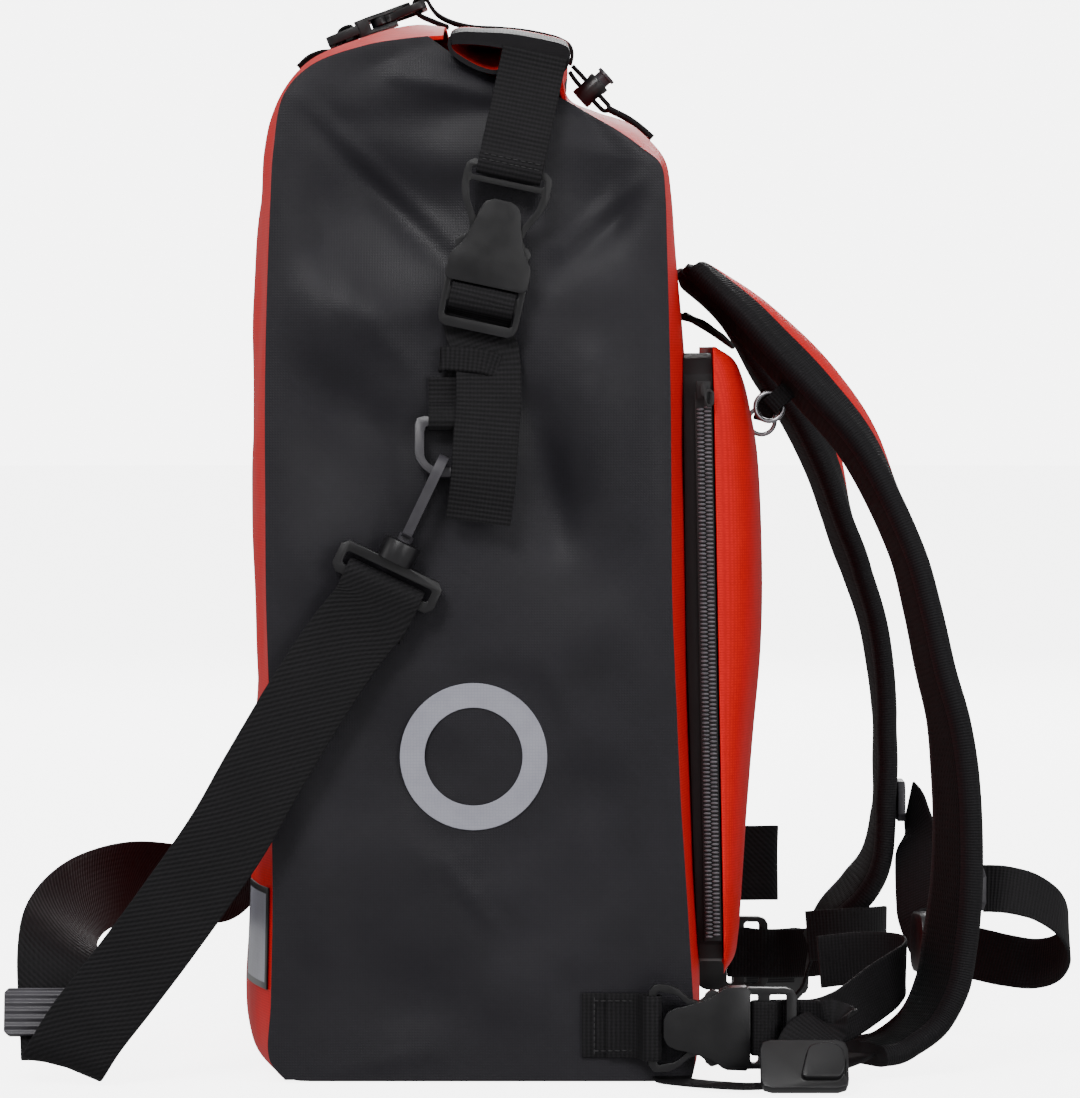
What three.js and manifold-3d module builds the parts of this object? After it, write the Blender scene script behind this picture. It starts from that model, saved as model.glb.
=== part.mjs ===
// Bicycle messenger backpack: a roll-top bag of welded tarpaulin that stands on its base. It has a padded
// harness
// cover and two shoulder straps behind, a side closure with a fastened buckle on each side, a clip-on
// messenger
// strap and a centre strap over the rolled mouth.
// Millimetres. +X is the harness side, -X the outward front, -Y the near side, +Z up, the base's centre at
// the origin.
import * as THREE from 'three';
import Module from 'manifold-3d';
import { mergeVertices } from 'three/addons/utils/BufferGeometryUtils.js';

const wasm = await Module();
wasm.setup();

// Named sizes
const bag = { depth: 196, width: 300, height: 483, wall: 1.8 };
const webbing = { wide: 38, belt: 30, narrow: 25, thick: 1.4 };
const pad = { width: 60, thick: 11 };
const gap = 0.3;
const sideY = bag.width / 2;
const outsideY = sideY + bag.wall;
const closure = { x: 5.4, z: 389.5, y: 160.5, tilt: THREE.MathUtils.degToRad(12) };
const hook = { x: -39.2, z: 244.1, y: 160.8, tilt: THREE.MathUtils.degToRad(25.5), stock: 4, gapWidth: 8.4,
  reach: 40.6 };
const lower = { x: 97, z: 26.5, y: 163.5, tilt: THREE.MathUtils.degToRad(-90), frame: 22 };
const top = { x: -46.5, z: 496.5, tilt: THREE.MathUtils.degToRad(68.5), broad: 0.85, long: 0.72, frame: 25 };
const buckle = { frameHalf: 20.7, frame: 31.5, plate: 4.6, body: 9.6, bar: 3.8, bodyHalf: 19.3 };
const ring = { outer: 67.6, inner: 45, thick: 0.6, x: -5.2, z: 150 };

// Materials
const tarpaulinBlack = new THREE.MeshStandardMaterial({ color: 0x2b282f, roughness: 0.62, metalness: 0 });
const tarpaulinRed = new THREE.MeshStandardMaterial({ color: 0xe03c32, roughness: 0.5, metalness: 0 });
const webbingBlack = new THREE.MeshStandardMaterial({ color: 0x1d1a1d, roughness: 0.85, metalness: 0 });
const meshBlack = new THREE.MeshStandardMaterial({ color: 0x1d1a1c, roughness: 0.95, metalness: 0 });
const acetal = new THREE.MeshStandardMaterial({ color: 0x222025, roughness: 0.35, metalness: 0 });
const acetalGrey = new THREE.MeshStandardMaterial({ color: 0x77747a, roughness: 0.4, metalness: 0 });
const reflective = new THREE.MeshStandardMaterial({ color: 0xacacb6, roughness: 0.45, metalness: 0.1 });
const steel = new THREE.MeshStandardMaterial({ color: 0x8c8a8e, roughness: 0.3, metalness: 0.9 });

// A closed surface from its rows of points, wound so that it faces out
function closedSolid(points, faces) {
  const geometry = new THREE.BufferGeometry();
  geometry.setAttribute('position', new THREE.Float32BufferAttribute(points.flatMap((p) => [p.x, p.y, p.z]),
    3));
  let volume = 0;
  for (const [a, b, c] of faces) {
    volume += points[a].dot(new THREE.Vector3().crossVectors(points[b], points[c]));
  }
  geometry.setIndex(faces.flatMap(([a, b, c]) => (volume > 0 ? [a, b, c] : [a, c, b])));
  return geometry;
}

// The closed solid between two grids of points with the same rows and columns
function between(outer, inner) {
  const rows = outer.length;
  const columns = outer[0].length;
  const points = [...outer.flat(), ...inner.flat()];
  const at = (side, i, j) => side * rows * columns + i * columns + j;
  const faces = [];
  const quad = (a, b, c, d) => faces.push([a, b, c], [a, c, d]);
  for (let i = 0; i < rows - 1; i++) {
    for (let j = 0; j < columns - 1; j++) {
      quad(at(0, i, j), at(0, i, j + 1), at(0, i + 1, j + 1), at(0, i + 1, j));
      quad(at(1, i, j), at(1, i + 1, j), at(1, i + 1, j + 1), at(1, i, j + 1));
    }
    quad(at(0, i, 0), at(0, i + 1, 0), at(1, i + 1, 0), at(1, i, 0));
    quad(at(0, i, columns - 1), at(1, i, columns - 1), at(1, i + 1, columns - 1), at(0, i + 1, columns - 1));
  }
  for (let j = 0; j < columns - 1; j++) {
    quad(at(0, 0, j), at(1, 0, j), at(1, 0, j + 1), at(0, 0, j + 1));
    quad(at(0, rows - 1, j), at(0, rows - 1, j + 1), at(1, rows - 1, j + 1), at(1, rows - 1, j));
  }
  return closedSolid(points, faces);
}

// A wall of even thickness behind a grid of points, on the side that the thickness's sign gives
function wall(grid, thickness) {
  const rows = grid.length;
  const columns = grid[0].length;
  return between(grid, grid.map((row, i) => row.map((p, j) => {
    const alongRow = grid[i][Math.min(j + 1, columns - 1)].clone().sub(grid[i][Math.max(j - 1, 0)]);
    const acrossRows = grid[Math.min(i + 1, rows - 1)][j].clone().sub(grid[Math.max(i - 1, 0)][j]);
    return p.clone().addScaledVector(alongRow.cross(acrossRows).normalize(), thickness);
  })));
}

// Points of a path table, given as shares of the bag's depth, width and height
const spot = ([x, y, z]) => new THREE.Vector3(x * bag.depth, y * bag.width, z * bag.height);

// Cross-sections of a strap, as shares of its width and thickness
const flatSection = [[-0.5, -0.5], [0.5, -0.5], [0.5, 0.5], [-0.5, 0.5]];
const paddedSection = [[-0.5, -0.2], [-0.42, -0.5], [0.42, -0.5], [0.5, -0.2], [0.5, 0.2], [0.42, 0.5],
  [-0.42, 0.5],
  [-0.5, 0.2]];

// A strap along a path: the width lies along the across directions, both taken evenly through their tables
function strap({ path, across, width, thick = webbing.thick, steps = 16, section = flatSection,
  taper = () => 1,
  fill = () => 1 }) {
  const line = new THREE.CatmullRomCurve3(path, false, 'centripetal');
  const turn = new THREE.CatmullRomCurve3(across, false, 'centripetal');
  const points = [];
  for (let i = 0; i <= steps; i++) {
    const t = i / steps;
    const tangent = line.getTangent(t);
    const side = turn.getPoint(t);
    side.addScaledVector(tangent, -side.dot(tangent)).normalize();
    const face = new THREE.Vector3().crossVectors(tangent, side).normalize();
    const centre = line.getPoint(t);
    for (const [w, h] of section) {
      points.push(centre.clone().addScaledVector(side, w * width * taper(t)).addScaledVector(face,
        h * thick * fill(t)));
    }
  }
  const n = section.length;
  const faces = [];
  for (let i = 0; i < steps; i++) {
    for (let j = 0; j < n; j++) {
      const [a, b] = [i * n + j, i * n + ((j + 1) % n)];
      faces.push([a, b, b + n], [a, b + n, a + n]);
    }
  }
  for (let j = 1; j < n - 1; j++) {
    faces.push([0, j + 1, j], [steps * n, steps * n + j, steps * n + j + 1]);
  }
  return closedSolid(points, faces);
}

// A flat outline with rounded corners in the X-Z plane
function outline(corners, radius, Kind = THREE.Shape) {
  const shape = new Kind();
  const at = corners.map(([x, z]) => new THREE.Vector2(x, z));
  if (THREE.ShapeUtils.area(at) < 0) at.reverse();
  at.forEach((corner, i) => {
    const before = at[(i + at.length - 1) % at.length];
    const after = at[(i + 1) % at.length];
    const reach = Math.min(radius, corner.distanceTo(before) / 2.5, corner.distanceTo(after) / 2.5);
    const start = corner.clone().addScaledVector(before.clone().sub(corner).normalize(), reach);
    const end = corner.clone().addScaledVector(after.clone().sub(corner).normalize(), reach);
    shape[i ? 'lineTo' : 'moveTo'](start.x, start.y);
    shape.quadraticCurveTo(corner.x, corner.y, end.x, end.y);
  });
  shape.closePath();
  return shape;
}

// A plate of that outline, centred on the X-Z plane with its thickness along Y
function plate(corners, { radius = 2, holes = [], holeRadius = 1, thick = 4, segments = 1 }) {
  const shape = outline(corners, radius);
  shape.holes = holes.map((hole) => outline(hole, holeRadius, THREE.Path));
  const geometry = new THREE.ExtrudeGeometry(shape, { depth: thick, bevelEnabled: false,
    curveSegments: segments });
  geometry.translate(0, 0, -thick / 2);
  return geometry.rotateX(Math.PI / 2);
}

const box = (x0, x1, y0, y1, z0, z1) => new THREE.BoxGeometry(x1 - x0, y1 - y0, z1 - z0)
  .translate((x0 + x1) / 2, (y0 + y1) / 2, (z0 + z1) / 2);
const rectangle = (x0, x1, z0, z1) => [[x0, z0], [x1, z0], [x1, z1], [x0, z1]];

function solid(geometry) {
  const plain = new THREE.BufferGeometry().setAttribute('position',
    geometry.getAttribute('position').clone());
  if (geometry.index) plain.setIndex(geometry.index.clone());
  const merged = mergeVertices(plain, 1e-4);
  const vertProperties = new Float32Array(merged.getAttribute('position').array);
  return new wasm.Manifold(new wasm.Mesh({ numProp: 3, vertProperties,
    triVerts: new Uint32Array(merged.index.array) }));
}

function surface(manifold) {
  const mesh = manifold.getMesh();
  const geometry = new THREE.BufferGeometry();
  geometry.setAttribute('position', new THREE.Float32BufferAttribute(mesh.vertProperties, 3));
  return geometry.setIndex(new THREE.Uint32BufferAttribute(mesh.triVerts, 1));
}

const join = (...parts) => surface(parts.map(solid).reduce((a, b) => a.add(b)));
const cut = (body, ...tools) => surface(tools.map(solid).reduce((a, b) => a.subtract(b), solid(body)));

const part = new THREE.Group();
function add(group, name, geometry, material) {
  const mesh = new THREE.Mesh(geometry, material);
  mesh.name = name;
  group.add(mesh);
  return mesh;
}

// The bag's seams, from the floor to the roll: where the side panels meet the front and the back, and how
// far each
// big panel stands out at its middle. Lengths are shares of the bag's depth (front, back) and height (the
// rest).
const seams = [
  // front, frontUp, frontMid, frontMidUp, back, backUp, backMid, backMidUp, inset
  [-0.4694, 0.0021, -0.5255, 0.0021, 0.4847, 0.0021, 0.4949, 0.0021, 0],
  [-0.5046, 0.0207, -0.5689, 0.0207, 0.4929, 0.0186, 0.5102, 0.0186, 0],
  [-0.502, 0.0766, -0.5903, 0.0745, 0.4883, 0.0766, 0.5153, 0.0766, 0],
  [-0.4974, 0.1718, -0.5801, 0.1698, 0.4745, 0.1718, 0.5077, 0.1718, 0],
  [-0.5, 0.2671, -0.5679, 0.2671, 0.4592, 0.2671, 0.5, 0.2671, 0],
  [-0.5046, 0.3623, -0.5602, 0.3665, 0.4485, 0.3623, 0.4949, 0.3623, 0],
  [-0.5117, 0.4576, -0.5628, 0.4596, 0.4388, 0.4576, 0.4898, 0.4576, 0],
  [-0.5133, 0.5528, -0.5663, 0.5507, 0.4367, 0.5528, 0.4878, 0.5528, 0],
  [-0.5138, 0.648, -0.5679, 0.6439, 0.4347, 0.648, 0.4847, 0.648, 0],
  [-0.5092, 0.7433, -0.5577, 0.7453, 0.4306, 0.7246, 0.4719, 0.7246, 0],
  [-0.5, 0.8385, -0.5485, 0.8385, 0.4255, 0.7971, 0.4566, 0.8012, 0],
  [-0.4929, 0.8861, -0.5332, 0.8903, 0.4219, 0.8427, 0.4449, 0.8489, 0.0017],
  [-0.4694, 0.9379, -0.4898, 0.9441, 0.4107, 0.8727, 0.4286, 0.882, 0.0067],
  [-0.4031, 0.9669, -0.4286, 0.9793, 0.3673, 0.8882, 0.3929, 0.9027, 0.015],
  [-0.2791, 0.9855, -0.3, 1.0031, 0.3112, 0.9048, 0.3367, 0.9203, 0.0233],
  [-0.1939, 0.9917, -0.2194, 1.0135, 0.25, 0.9193, 0.2602, 0.9296, 0.03],
  [-0.1327, 0.9944, -0.1531, 1.0166, 0.1939, 0.9327, 0.1964, 0.9431, 0.0333],
].map(([front, frontUp, frontMid, frontMidUp, back, backUp, backMid, backMidUp, inset]) => ({
  front: front * bag.depth,
  frontUp: frontUp * bag.height,
  frontMid: frontMid * bag.depth,
  frontMidUp: frontMidUp * bag.height,
  back: back * bag.depth,
  backUp: backUp * bag.height,
  backMid: backMid * bag.depth,
  backMidUp: backMidUp * bag.height,
  inset: inset * bag.width,
}));

// A big panel: straight to the seams at both sides, standing out towards its middle
function bigPanel(rows, which, sharpness, columns) {
  return rows.map((row) => {
    const half = sideY - 2 * gap - row.inset;
    return Array.from({ length: columns + 1 }, (_, j) => {
      const u = -1 + (2 * j) / columns;
      const out = 1 - Math.abs(u) ** sharpness;
      const x = row[which] + (row[which + 'Mid'] - row[which]) * out;
      const z = row[which + 'Up'] + (row[which + 'MidUp'] - row[which + 'Up']) * out;
      return new THREE.Vector3(x, u * half, z);
    });
  });
}

// The side panels' swells and hollows: centre and reach as shares of depth and height, depth in millimetres
const swells = [
  // along, up, alongReach, upReach, depth
  [-0.3571, 0.7288, 0.1735, 0.0621, 6],
  [0.3163, 0.6211, 0.1327, 0.1449, 5],
  [-0.2296, 0.8385, 0.2245, 0.0538, -12],
  [0.2449, 0.8385, 0.1122, 0.0455, -7],
  [-0.3673, 0.6046, 0.1122, 0.0538, -3.5],
  [0.1531, 0.5424, 0.1122, 0.0538, -4],
  [-0.102, 0.911, 0.1531, 0.029, -5],
].map(([along, up, alongReach, upReach, depth]) => ({
  x: along * bag.depth, z: up * bag.height, dx: alongReach * bag.depth, dz: upReach * bag.height, depth,
}));

function sidePanel(columns) {
  return seams.map((row, i) => Array.from({ length: columns + 1 }, (_, j) => {
    const u = j / columns;
    const sag = mouthSag * Math.max(0, i - seams.length + 3) / 2 * Math.sin(Math.PI * Math.min(1, u * 1.15));
    const x = row.front + (row.back - row.front) * u;
    const z = row.frontUp + (row.backUp - row.frontUp) * u - sag;
    const edge = Math.min(1, Math.min(u, 1 - u) * 7);
    const swell = swells.reduce((sum, s) => (
      sum + s.depth * Math.exp(-(((x - s.x) / s.dx) ** 2) - ((z - s.z) / s.dz) ** 2)), 0);
    return new THREE.Vector3(x, -(outsideY - row.inset + swell * edge * edge * (3 - 2 * edge)), z);
  }));
}

// The rolled mouth's size, and the last rows of the front and back panels, which reach it
const roll = { front: -17, back: 39, low: 461.5, high: 481.5, half: 151, rise: 8.5, sections: 6 };
const mouthSag = 9;
const frontRows = [...seams, { ...seams.at(-1), front: roll.front - 2.2, frontUp: roll.high - 0.8,
  frontMid: roll.front - 2.2, frontMidUp: roll.high + roll.rise - 0.4 }];
const backRows = [...seams, { ...seams.at(-1), back: roll.back - 3.5, backUp: roll.low - 0.8,
  backMid: roll.back - 3, backMidUp: roll.low + roll.rise - 0.8 }];

add(part, 'front_panel', wall(bigPanel(frontRows, 'front', 3, 8), bag.wall), tarpaulinRed);
add(part, 'back_panel', wall(bigPanel(backRows, 'back', 4, 8), -bag.wall), tarpaulinRed);
const sideWall = wall(sidePanel(8), -bag.wall);
add(part, 'side_panel_near', sideWall, tarpaulinBlack);
add(part, 'side_panel_far', sideWall, tarpaulinBlack).scale.y = -1;

// The base, inside the foot of the four panels
const foot = { front: -89.8, back: 92.9, half: sideY - 0.5, thick: 3, corner: 10 };
const basePlate = plate([[foot.front, -foot.half], [foot.back, -foot.half], [foot.back, foot.half],
  [foot.front, foot.half]], { radius: foot.corner, thick: foot.thick, segments: 3 });
add(part, 'base_panel', basePlate.rotateX(-Math.PI / 2).translate(0, 0, foot.thick / 2), tarpaulinBlack);

// A solid swept along Y from an outline in the X-Z plane, raised towards the middle
function sweptAlongY(corners, half, sections, rise) {
  const points = [];
  const n = corners.length;
  for (let i = 0; i <= sections; i++) {
    const u = -1 + (2 * i) / sections;
    corners.forEach(([x, z]) => points.push(new THREE.Vector3(x, u * half, z + rise * (1 - u * u))));
  }
  const faces = [];
  for (let i = 0; i < sections; i++) {
    for (let j = 0; j < n; j++) {
      const [a, b] = [i * n + j, i * n + ((j + 1) % n)];
      faces.push([a, b, b + n], [a, b + n, a + n]);
    }
  }
  const ends = THREE.ShapeUtils.triangulateShape(corners.map(([x, z]) => new THREE.Vector2(x, z)), []);
  const flipped = THREE.ShapeUtils.area(corners.map(([x, z]) => new THREE.Vector2(x, z))) < 0;
  for (const [a, b, c] of ends) {
    const last = sections * n;
    faces.push(flipped ? [a, b, c] : [a, c, b], flipped ? [last + a, last + c, last + b] : [last + a,
      last + b, last + c]);
  }
  return closedSolid(points, faces);
}

// The rolled mouth: a flattened tube of folded layers over the top, open at both ends, lower there than in
// the middle.
// Its outline and its hollow are shares of its own breadth and height.
const rollAt = ([along, up]) => [roll.front + along * (roll.back - roll.front),
  roll.low + up * (roll.high - roll.low)];
const rollOutline = [[0, 0.71], [0.02, 0.92], [0.08, 1], [0.3, 1], [0.5, 0.97], [0.7, 0.88], [0.9, 0.76],
  [0.98, 0.66],
  [1, 0.45], [0.98, 0.2], [0.93, 0.06], [0.7, 0.02], [0.42, 0.03], [0.26, 0.12], [0.1, 0.35], [0.02, 0.54]];
const rollHollow = [[0.03, 0.7], [0.12, 0.73], [0.3, 0.7], [0.5, 0.6], [0.6, 0.5], [0.5, 0.3], [0.4, 0.15],
  [0.28, 0.21],
  [0.13, 0.43], [0.05, 0.6]];
const rollShell = cut(sweptAlongY(rollOutline.map(rollAt), roll.half, roll.sections, roll.rise),
  sweptAlongY(rollHollow.map(rollAt), roll.half * 1.001, roll.sections, roll.rise));
add(part, 'roll_top', rollShell, tarpaulinBlack);

// Where the back panel's outer face lies
function backAt(y, z) {
  const out = 1 - Math.abs(y / sideY) ** 4;
  const rows = backRows.map((row) => ({ x: row.back + (row.backMid - row.back) * out,
    z: row.backUp + (row.backMidUp - row.backUp) * out }));
  const i = Math.max(1, rows.findIndex((row) => row.z >= z));
  const share = (z - rows[i - 1].z) / (rows[i].z - rows[i - 1].z);
  return rows[i - 1].x + (rows[i].x - rows[i - 1].x) * Math.min(1, Math.max(0, share));
}

// Harness cover: a padded lid on a black gusset, with a zip along the near edge
const cover = { half: 122, low: 46, high: 338, corner: 24, padding: 8, seamLow: 111, seamHigh: 105.5 };
const coverFace = [
  // out, up: how far the lid stands out over the bag's depth, and the height, from the bottom up
  [0.5714, 0.0952], [0.5969, 0.1077], [0.6077, 0.1284], [0.6173, 0.1739], [0.6296, 0.2443],
  [0.6444, 0.3251], [0.6612, 0.4058],
  [0.6658, 0.4865], [0.6556, 0.5963], [0.6383, 0.6377], [0.6209, 0.6667], [0.5969, 0.6874], [0.551, 0.6998],
].map(([out, up]) => ({ x: out * bag.depth, z: up * bag.height }));
const coverSeam = (z) => THREE.MathUtils.mapLinear(z, cover.low, cover.high, cover.seamLow, cover.seamHigh);
const coverColumns = [-1, -0.97, -0.88, -0.66, 0, 0.66, 0.88, 0.97, 1];
const lidGrid = (shrink, depth) => coverFace.map(({ x, z }, i) => coverColumns.map((u) => {
  const end = Math.min(i, coverFace.length - 1 - i);
  const narrow = [0.93, 0.975, 0.99][end] ?? 1;
  const seam = coverSeam(z);
  const out = Math.max(0, x - seam - depth) * (1 - Math.abs(u) ** 7) ** 0.6;
  const middle = (cover.low + cover.high) / 2;
  return new THREE.Vector3(seam + out, u * cover.half * narrow * shrink, middle + (z - middle) * shrink);
}));
add(part, 'harness_cover', between(lidGrid(1, 0), lidGrid(0.95, cover.padding).map((row) => (
  row.map((p) => p.setX(p.x - 0.01))))), tarpaulinRed);

const gusset = { half: 119, low: 50, high: 335, corner: 22, wall: 1.6 };
function hoop({ half, low, high, corner }, near, far, thick) {
  const round = outline(rectangle(-half, half, low, high), corner).getPoints(3);
  if (round[0].distanceTo(round.at(-1)) < 0.01) round.pop();
  const around = round.flatMap((p, i) => {
    const next = round[(i + 1) % round.length];
    const pieces = p.distanceTo(next) > 100 ? 7 : 1;
    return Array.from({ length: pieces }, (_, k) => p.clone().lerp(next, k / pieces));
  });
  const middle = new THREE.Vector2(0, (low + high) / 2);
  const points = around.flatMap((p) => {
    const shrunk = p.clone().sub(middle);
    shrunk.set(shrunk.x * (1 - thick / half), shrunk.y * (1 - (2 * thick) / (high - low))).add(middle);
    return [[near(p.x, p.y), p], [far(p.y), p], [far(p.y), shrunk], [near(p.x, p.y), shrunk]]
      .map(([x, q]) => new THREE.Vector3(x, q.x, q.y));
  });
  const faces = [];
  const n = around.length;
  for (let i = 0; i < n; i++) {
    for (let j = 0; j < 4; j++) {
      const [a, b, c, d] = [i * 4 + j, i * 4 + ((j + 1) % 4), ((i + 1) % n) * 4 + ((j + 1) % 4),
        ((i + 1) % n) * 4 + j];
      faces.push([a, b, c], [a, c, d]);
    }
  }
  return closedSolid(points, faces);
}
add(part, 'cover_gusset', hoop(gusset, (y, z) => backAt(y, z) + 2 * gap, (z) => coverSeam(z) - gap,
  gusset.wall),
  tarpaulinBlack);

const zip = { width: 7.8, thick: 2.2, low: 62, high: 317, y: -(gusset.half + 1.1 + gap) };
const zipLine = (z) => new THREE.Vector3(THREE.MathUtils.mapLinear(z, zip.low, zip.high, 105.8, 100.9), zip.y,
  z);
const zipPath = [0, 0.25, 0.5, 0.75, 1].map((t) => zipLine(THREE.MathUtils.lerp(zip.low, zip.high, t)));
const alongX = new THREE.Vector3(1, 0, 0);
const alongY = new THREE.Vector3(0, 1, 0);
const alongZ = new THREE.Vector3(0, 0, 1);
const zipCoil = strap({ path: zipPath, across: [alongX, alongX], width: zip.width, thick: zip.thick,
  steps: 4 });

// The zip's slider at the top of the run, with its bail and a loop of cord to pull
const slider = { width: 6.4, length: 8, thick: 3 };
const sliderBody = box(-slider.width / 2, slider.width / 2, -slider.thick / 2, slider.thick / 2 + 1, 0,
  slider.length);
const sliderBail = plate(rectangle(-1.4, 1.4, 1, 7), { radius: 1, thick: 2 }).translate(0, -2.3, 0);
const pull = plate(rectangle(0.2, 5, -4, 4.4), { radius: 1.6, holes: [rectangle(1.6, 3.8, -2.8, 3)],
  thick: 1.4 })
  .translate(0, -2.6, 0);
const zipSlider = join(sliderBody, sliderBail, pull)
  .translate(zipLine(zip.high).x, zip.y - zip.thick / 2 - slider.thick / 2 - gap, zip.high - 3);
add(part, 'cover_zip', join(zipCoil, zipSlider), acetal);

// Printed ring on each side and a plain reflective patch low on the front
function flatRing({ outer, inner, thick }) {
  const shape = new THREE.Shape().absarc(0, 0, outer / 2, 0, 2 * Math.PI);
  shape.holes = [new THREE.Path().absarc(0, 0, inner / 2, 0, 2 * Math.PI, true)];
  return new THREE.ExtrudeGeometry(shape, { depth: thick, bevelEnabled: false, curveSegments: 14 })
    .rotateX(Math.PI / 2);
}
const near = new THREE.Group();
const far = new THREE.Group();
far.scale.y = -1;
part.add(near, far);
for (const [group, side] of [[near, 'near'], [far, 'far']]) {
  add(group, `reflective_ring_${side}`, flatRing(ring), reflective).position.set(ring.x, -outsideY - gap,
    ring.z);
}

// Side-release buckle: the male half has a frame for its webbing and two sprung arms, the female half a
// pressed
// front with open sides and a ladder for the webbing
function buckleMale({ frame }) {
  const { frameHalf, plate: thick } = buckle;
  const corners = [[-frameHalf * 0.93, frame], [frameHalf * 0.93, frame], [frameHalf, frame * 0.72],
    [frameHalf * 0.93, frame * 0.45], [12.4, 2], [12.4, -3], [17.4, -4.5], [17.6, -9], [13.4, -14],
    [9.5, -14],
    [9, -2], [-9, -2], [-9.5, -14], [-13.4, -14], [-17.6, -9], [-17.4, -4.5], [-12.4, -3], [-12.4, 2],
    [-frameHalf * 0.93, frame * 0.45], [-frameHalf, frame * 0.72]];
  const inside = frameHalf - 3.6;
  const slot = [[-inside, frame - 3.4], [inside, frame - 3.4], [inside, frame - 7.2], [-inside, frame - 7.2]];
  const windowPane = [[-inside, frame - 9.8], [inside, frame - 9.8], [inside * 0.9, frame * 0.42], [9.5, 3],
    [-9.5, 3],
    [-inside * 0.9, frame * 0.42]];
  const holes = frame > 25 ? [slot, windowPane] : [[[-inside, frame - 3.6], [inside, frame - 3.6],
    [inside * 0.9, frame * 0.42], [9.5, 3], [-9.5, 3], [-inside * 0.9, frame * 0.42]]];
  return plate(corners, { radius: 2.4, holes, thick });
}

function buckleFemale() {
  const { body, bodyHalf } = buckle;
  const front = [[-6, 15.2], [6, 15.2], [9.3, 11], [10.6, 4], [12, 0], [13.2, -5], [16.6, -10], [18.8, -12.5],
    [bodyHalf, -24.4], [-bodyHalf, -24.4], [-18.8, -12.5], [-16.6, -10], [-13.2, -5], [-12, 0], [-10.6, 4],
    [-9.3, 11]];
  const pressed = plate(front, { radius: 2, thick: body });
  const ladder = plate([[-18.7, -22], [18.7, -22], [18.5, -42], [16, -45.6], [-16, -45.6], [-18.5, -42]],
    { radius: 1.4, thick: 5.2,
      holes: [rectangle(-15.9, 15.9, -28, -24.2), rectangle(-15.9, 15.9, -41, -33.4)] });
  const pocket = box(-30, 30, -2.6, 2.6, -15, 30);
  return cut(join(pressed, ladder), pocket, box(-20, 20, -0.1, 10, 3, 30));
}
const male = buckleMale({ frame: buckle.frame });
const female = buckleFemale();

// A point given in a tilted buckle's own directions: across, out towards the viewer, and up its length
function onTilted({ x, y = 0, z, tilt, scale = 1 }, across, out, up) {
  const [c, s] = [Math.cos(tilt) * scale, Math.sin(tilt) * scale];
  return new THREE.Vector3(x + across * c + up * s, -y - out * scale, z - across * s + up * c);
}
const acrossTilted = ({ tilt }) => new THREE.Vector3(Math.cos(tilt), 0, -Math.sin(tilt));

function buckleGroup(parent, { x, y = 0, z, tilt, scale = 1 }, pieces) {
  const group = new THREE.Group();
  group.position.set(x, -y, z);
  group.rotation.y = tilt;
  group.scale.setScalar(scale);
  for (const [name, geometry, material] of pieces) add(group, name, geometry, material);
  parent.add(group);
  return group;
}

// Webbing that passes up behind a buckle's ladder, over its bar and back down: out of the buckle's middle
// and up it
const overBar = [[-6.6, -42.6], [-4.6, -35], [-3.9, -28.8], [-3.1, -26.2], [0, -25.3], [3.1, -26.2],
  [4, -29], [4, -32],
  [3.2, -35.2], [0, -37], [-3.2, -39.2], [-4.6, -43.4]];

// Rows of a strap's table: the middle of the strap in shares of the bag's size, and the direction of its
// width
function route(rows) {
  return { path: rows.map(([x, y, z]) => spot([x, y, z])), across: rows.map(([, , , a, b,
    c]) => new THREE.Vector3(a, b, c)) };
}

// Roll closure and hook, the same on both sides: webbing from the roll's end to the buckle, an adjusting
// strap with a
// free tail below it, and a ring in a short loop, which holds the messenger strap's snap hook
const closureWebbing = [
  // out, up: from the roll's end down to the frame's bar, round it and back up to the stitching
  [-8.2, 85], [-8, 78], [-6, 68], [-3, 58], [0.2, 48], [1.8, 40], [3.9, 33.5], [4.1, 29.8], [3, 26.6],
  [0, 25.9],
  [-3, 26.6], [-4.1, 29.8], [-2.6, 34.5], [-0.3, 39.5], [-0.9, 43.5],
];
const frameBar = closureWebbing.map(([out, up]) => onTilted(closure, 0, out, up));
const anchorRows = [[-0.0117, -0.5137, 0.6584], [-0.0117, -0.5137, 0.6853],
  [-0.0082, -0.514, 0.7039]].map(spot);
const tailRows = [[0.0051, -0.525, 0.6925], [0.0092, -0.5367, 0.6491], [0.0031, -0.5467, 0.612],
  [-0.0031, -0.5533, 0.5741],
  [-0.0153, -0.545, 0.5342]].map(spot);
const ladderRows = overBar.map(([out, up]) => onTilted(closure, 0, out, up));
const sideRing = { half: 17.2, rise: 14, stock: 4.2, x: -14.6, y: 160, z: 292.2, tilt: -0.168 };
const ringBar = { y: sideRing.y - 2, z: sideRing.z + 11.7 };
const ringLoop = [[153.9, 324], [153.9, 312], [ringBar.y - 3.7, ringBar.z + 1],
  [ringBar.y - 2.7, ringBar.z - 2.9],
  [ringBar.y, ringBar.z - 3.8], [ringBar.y + 2.7, ringBar.z - 2.9], [ringBar.y + 3.7, ringBar.z + 0.6],
  [ringBar.y + 1.2, ringBar.z + 6], [155.8, 313.5], [155.2, 324]];
const eye = { half: 25.5, low: -20, high: -4.5, slotHalf: 21.5, slotLow: -15.4, slotHigh: -9, thick: 6 };
const swivelBase = new THREE.CylinderGeometry(8.6, 8.6, 10, 12).rotateX(Math.PI / 2);
const swivelEye = plate(rectangle(-eye.half, eye.half, eye.low, eye.high), { radius: 3, thick: eye.thick,
  holes: [rectangle(-eye.slotHalf, eye.slotHalf, eye.slotLow, eye.slotHigh)] });
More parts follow.
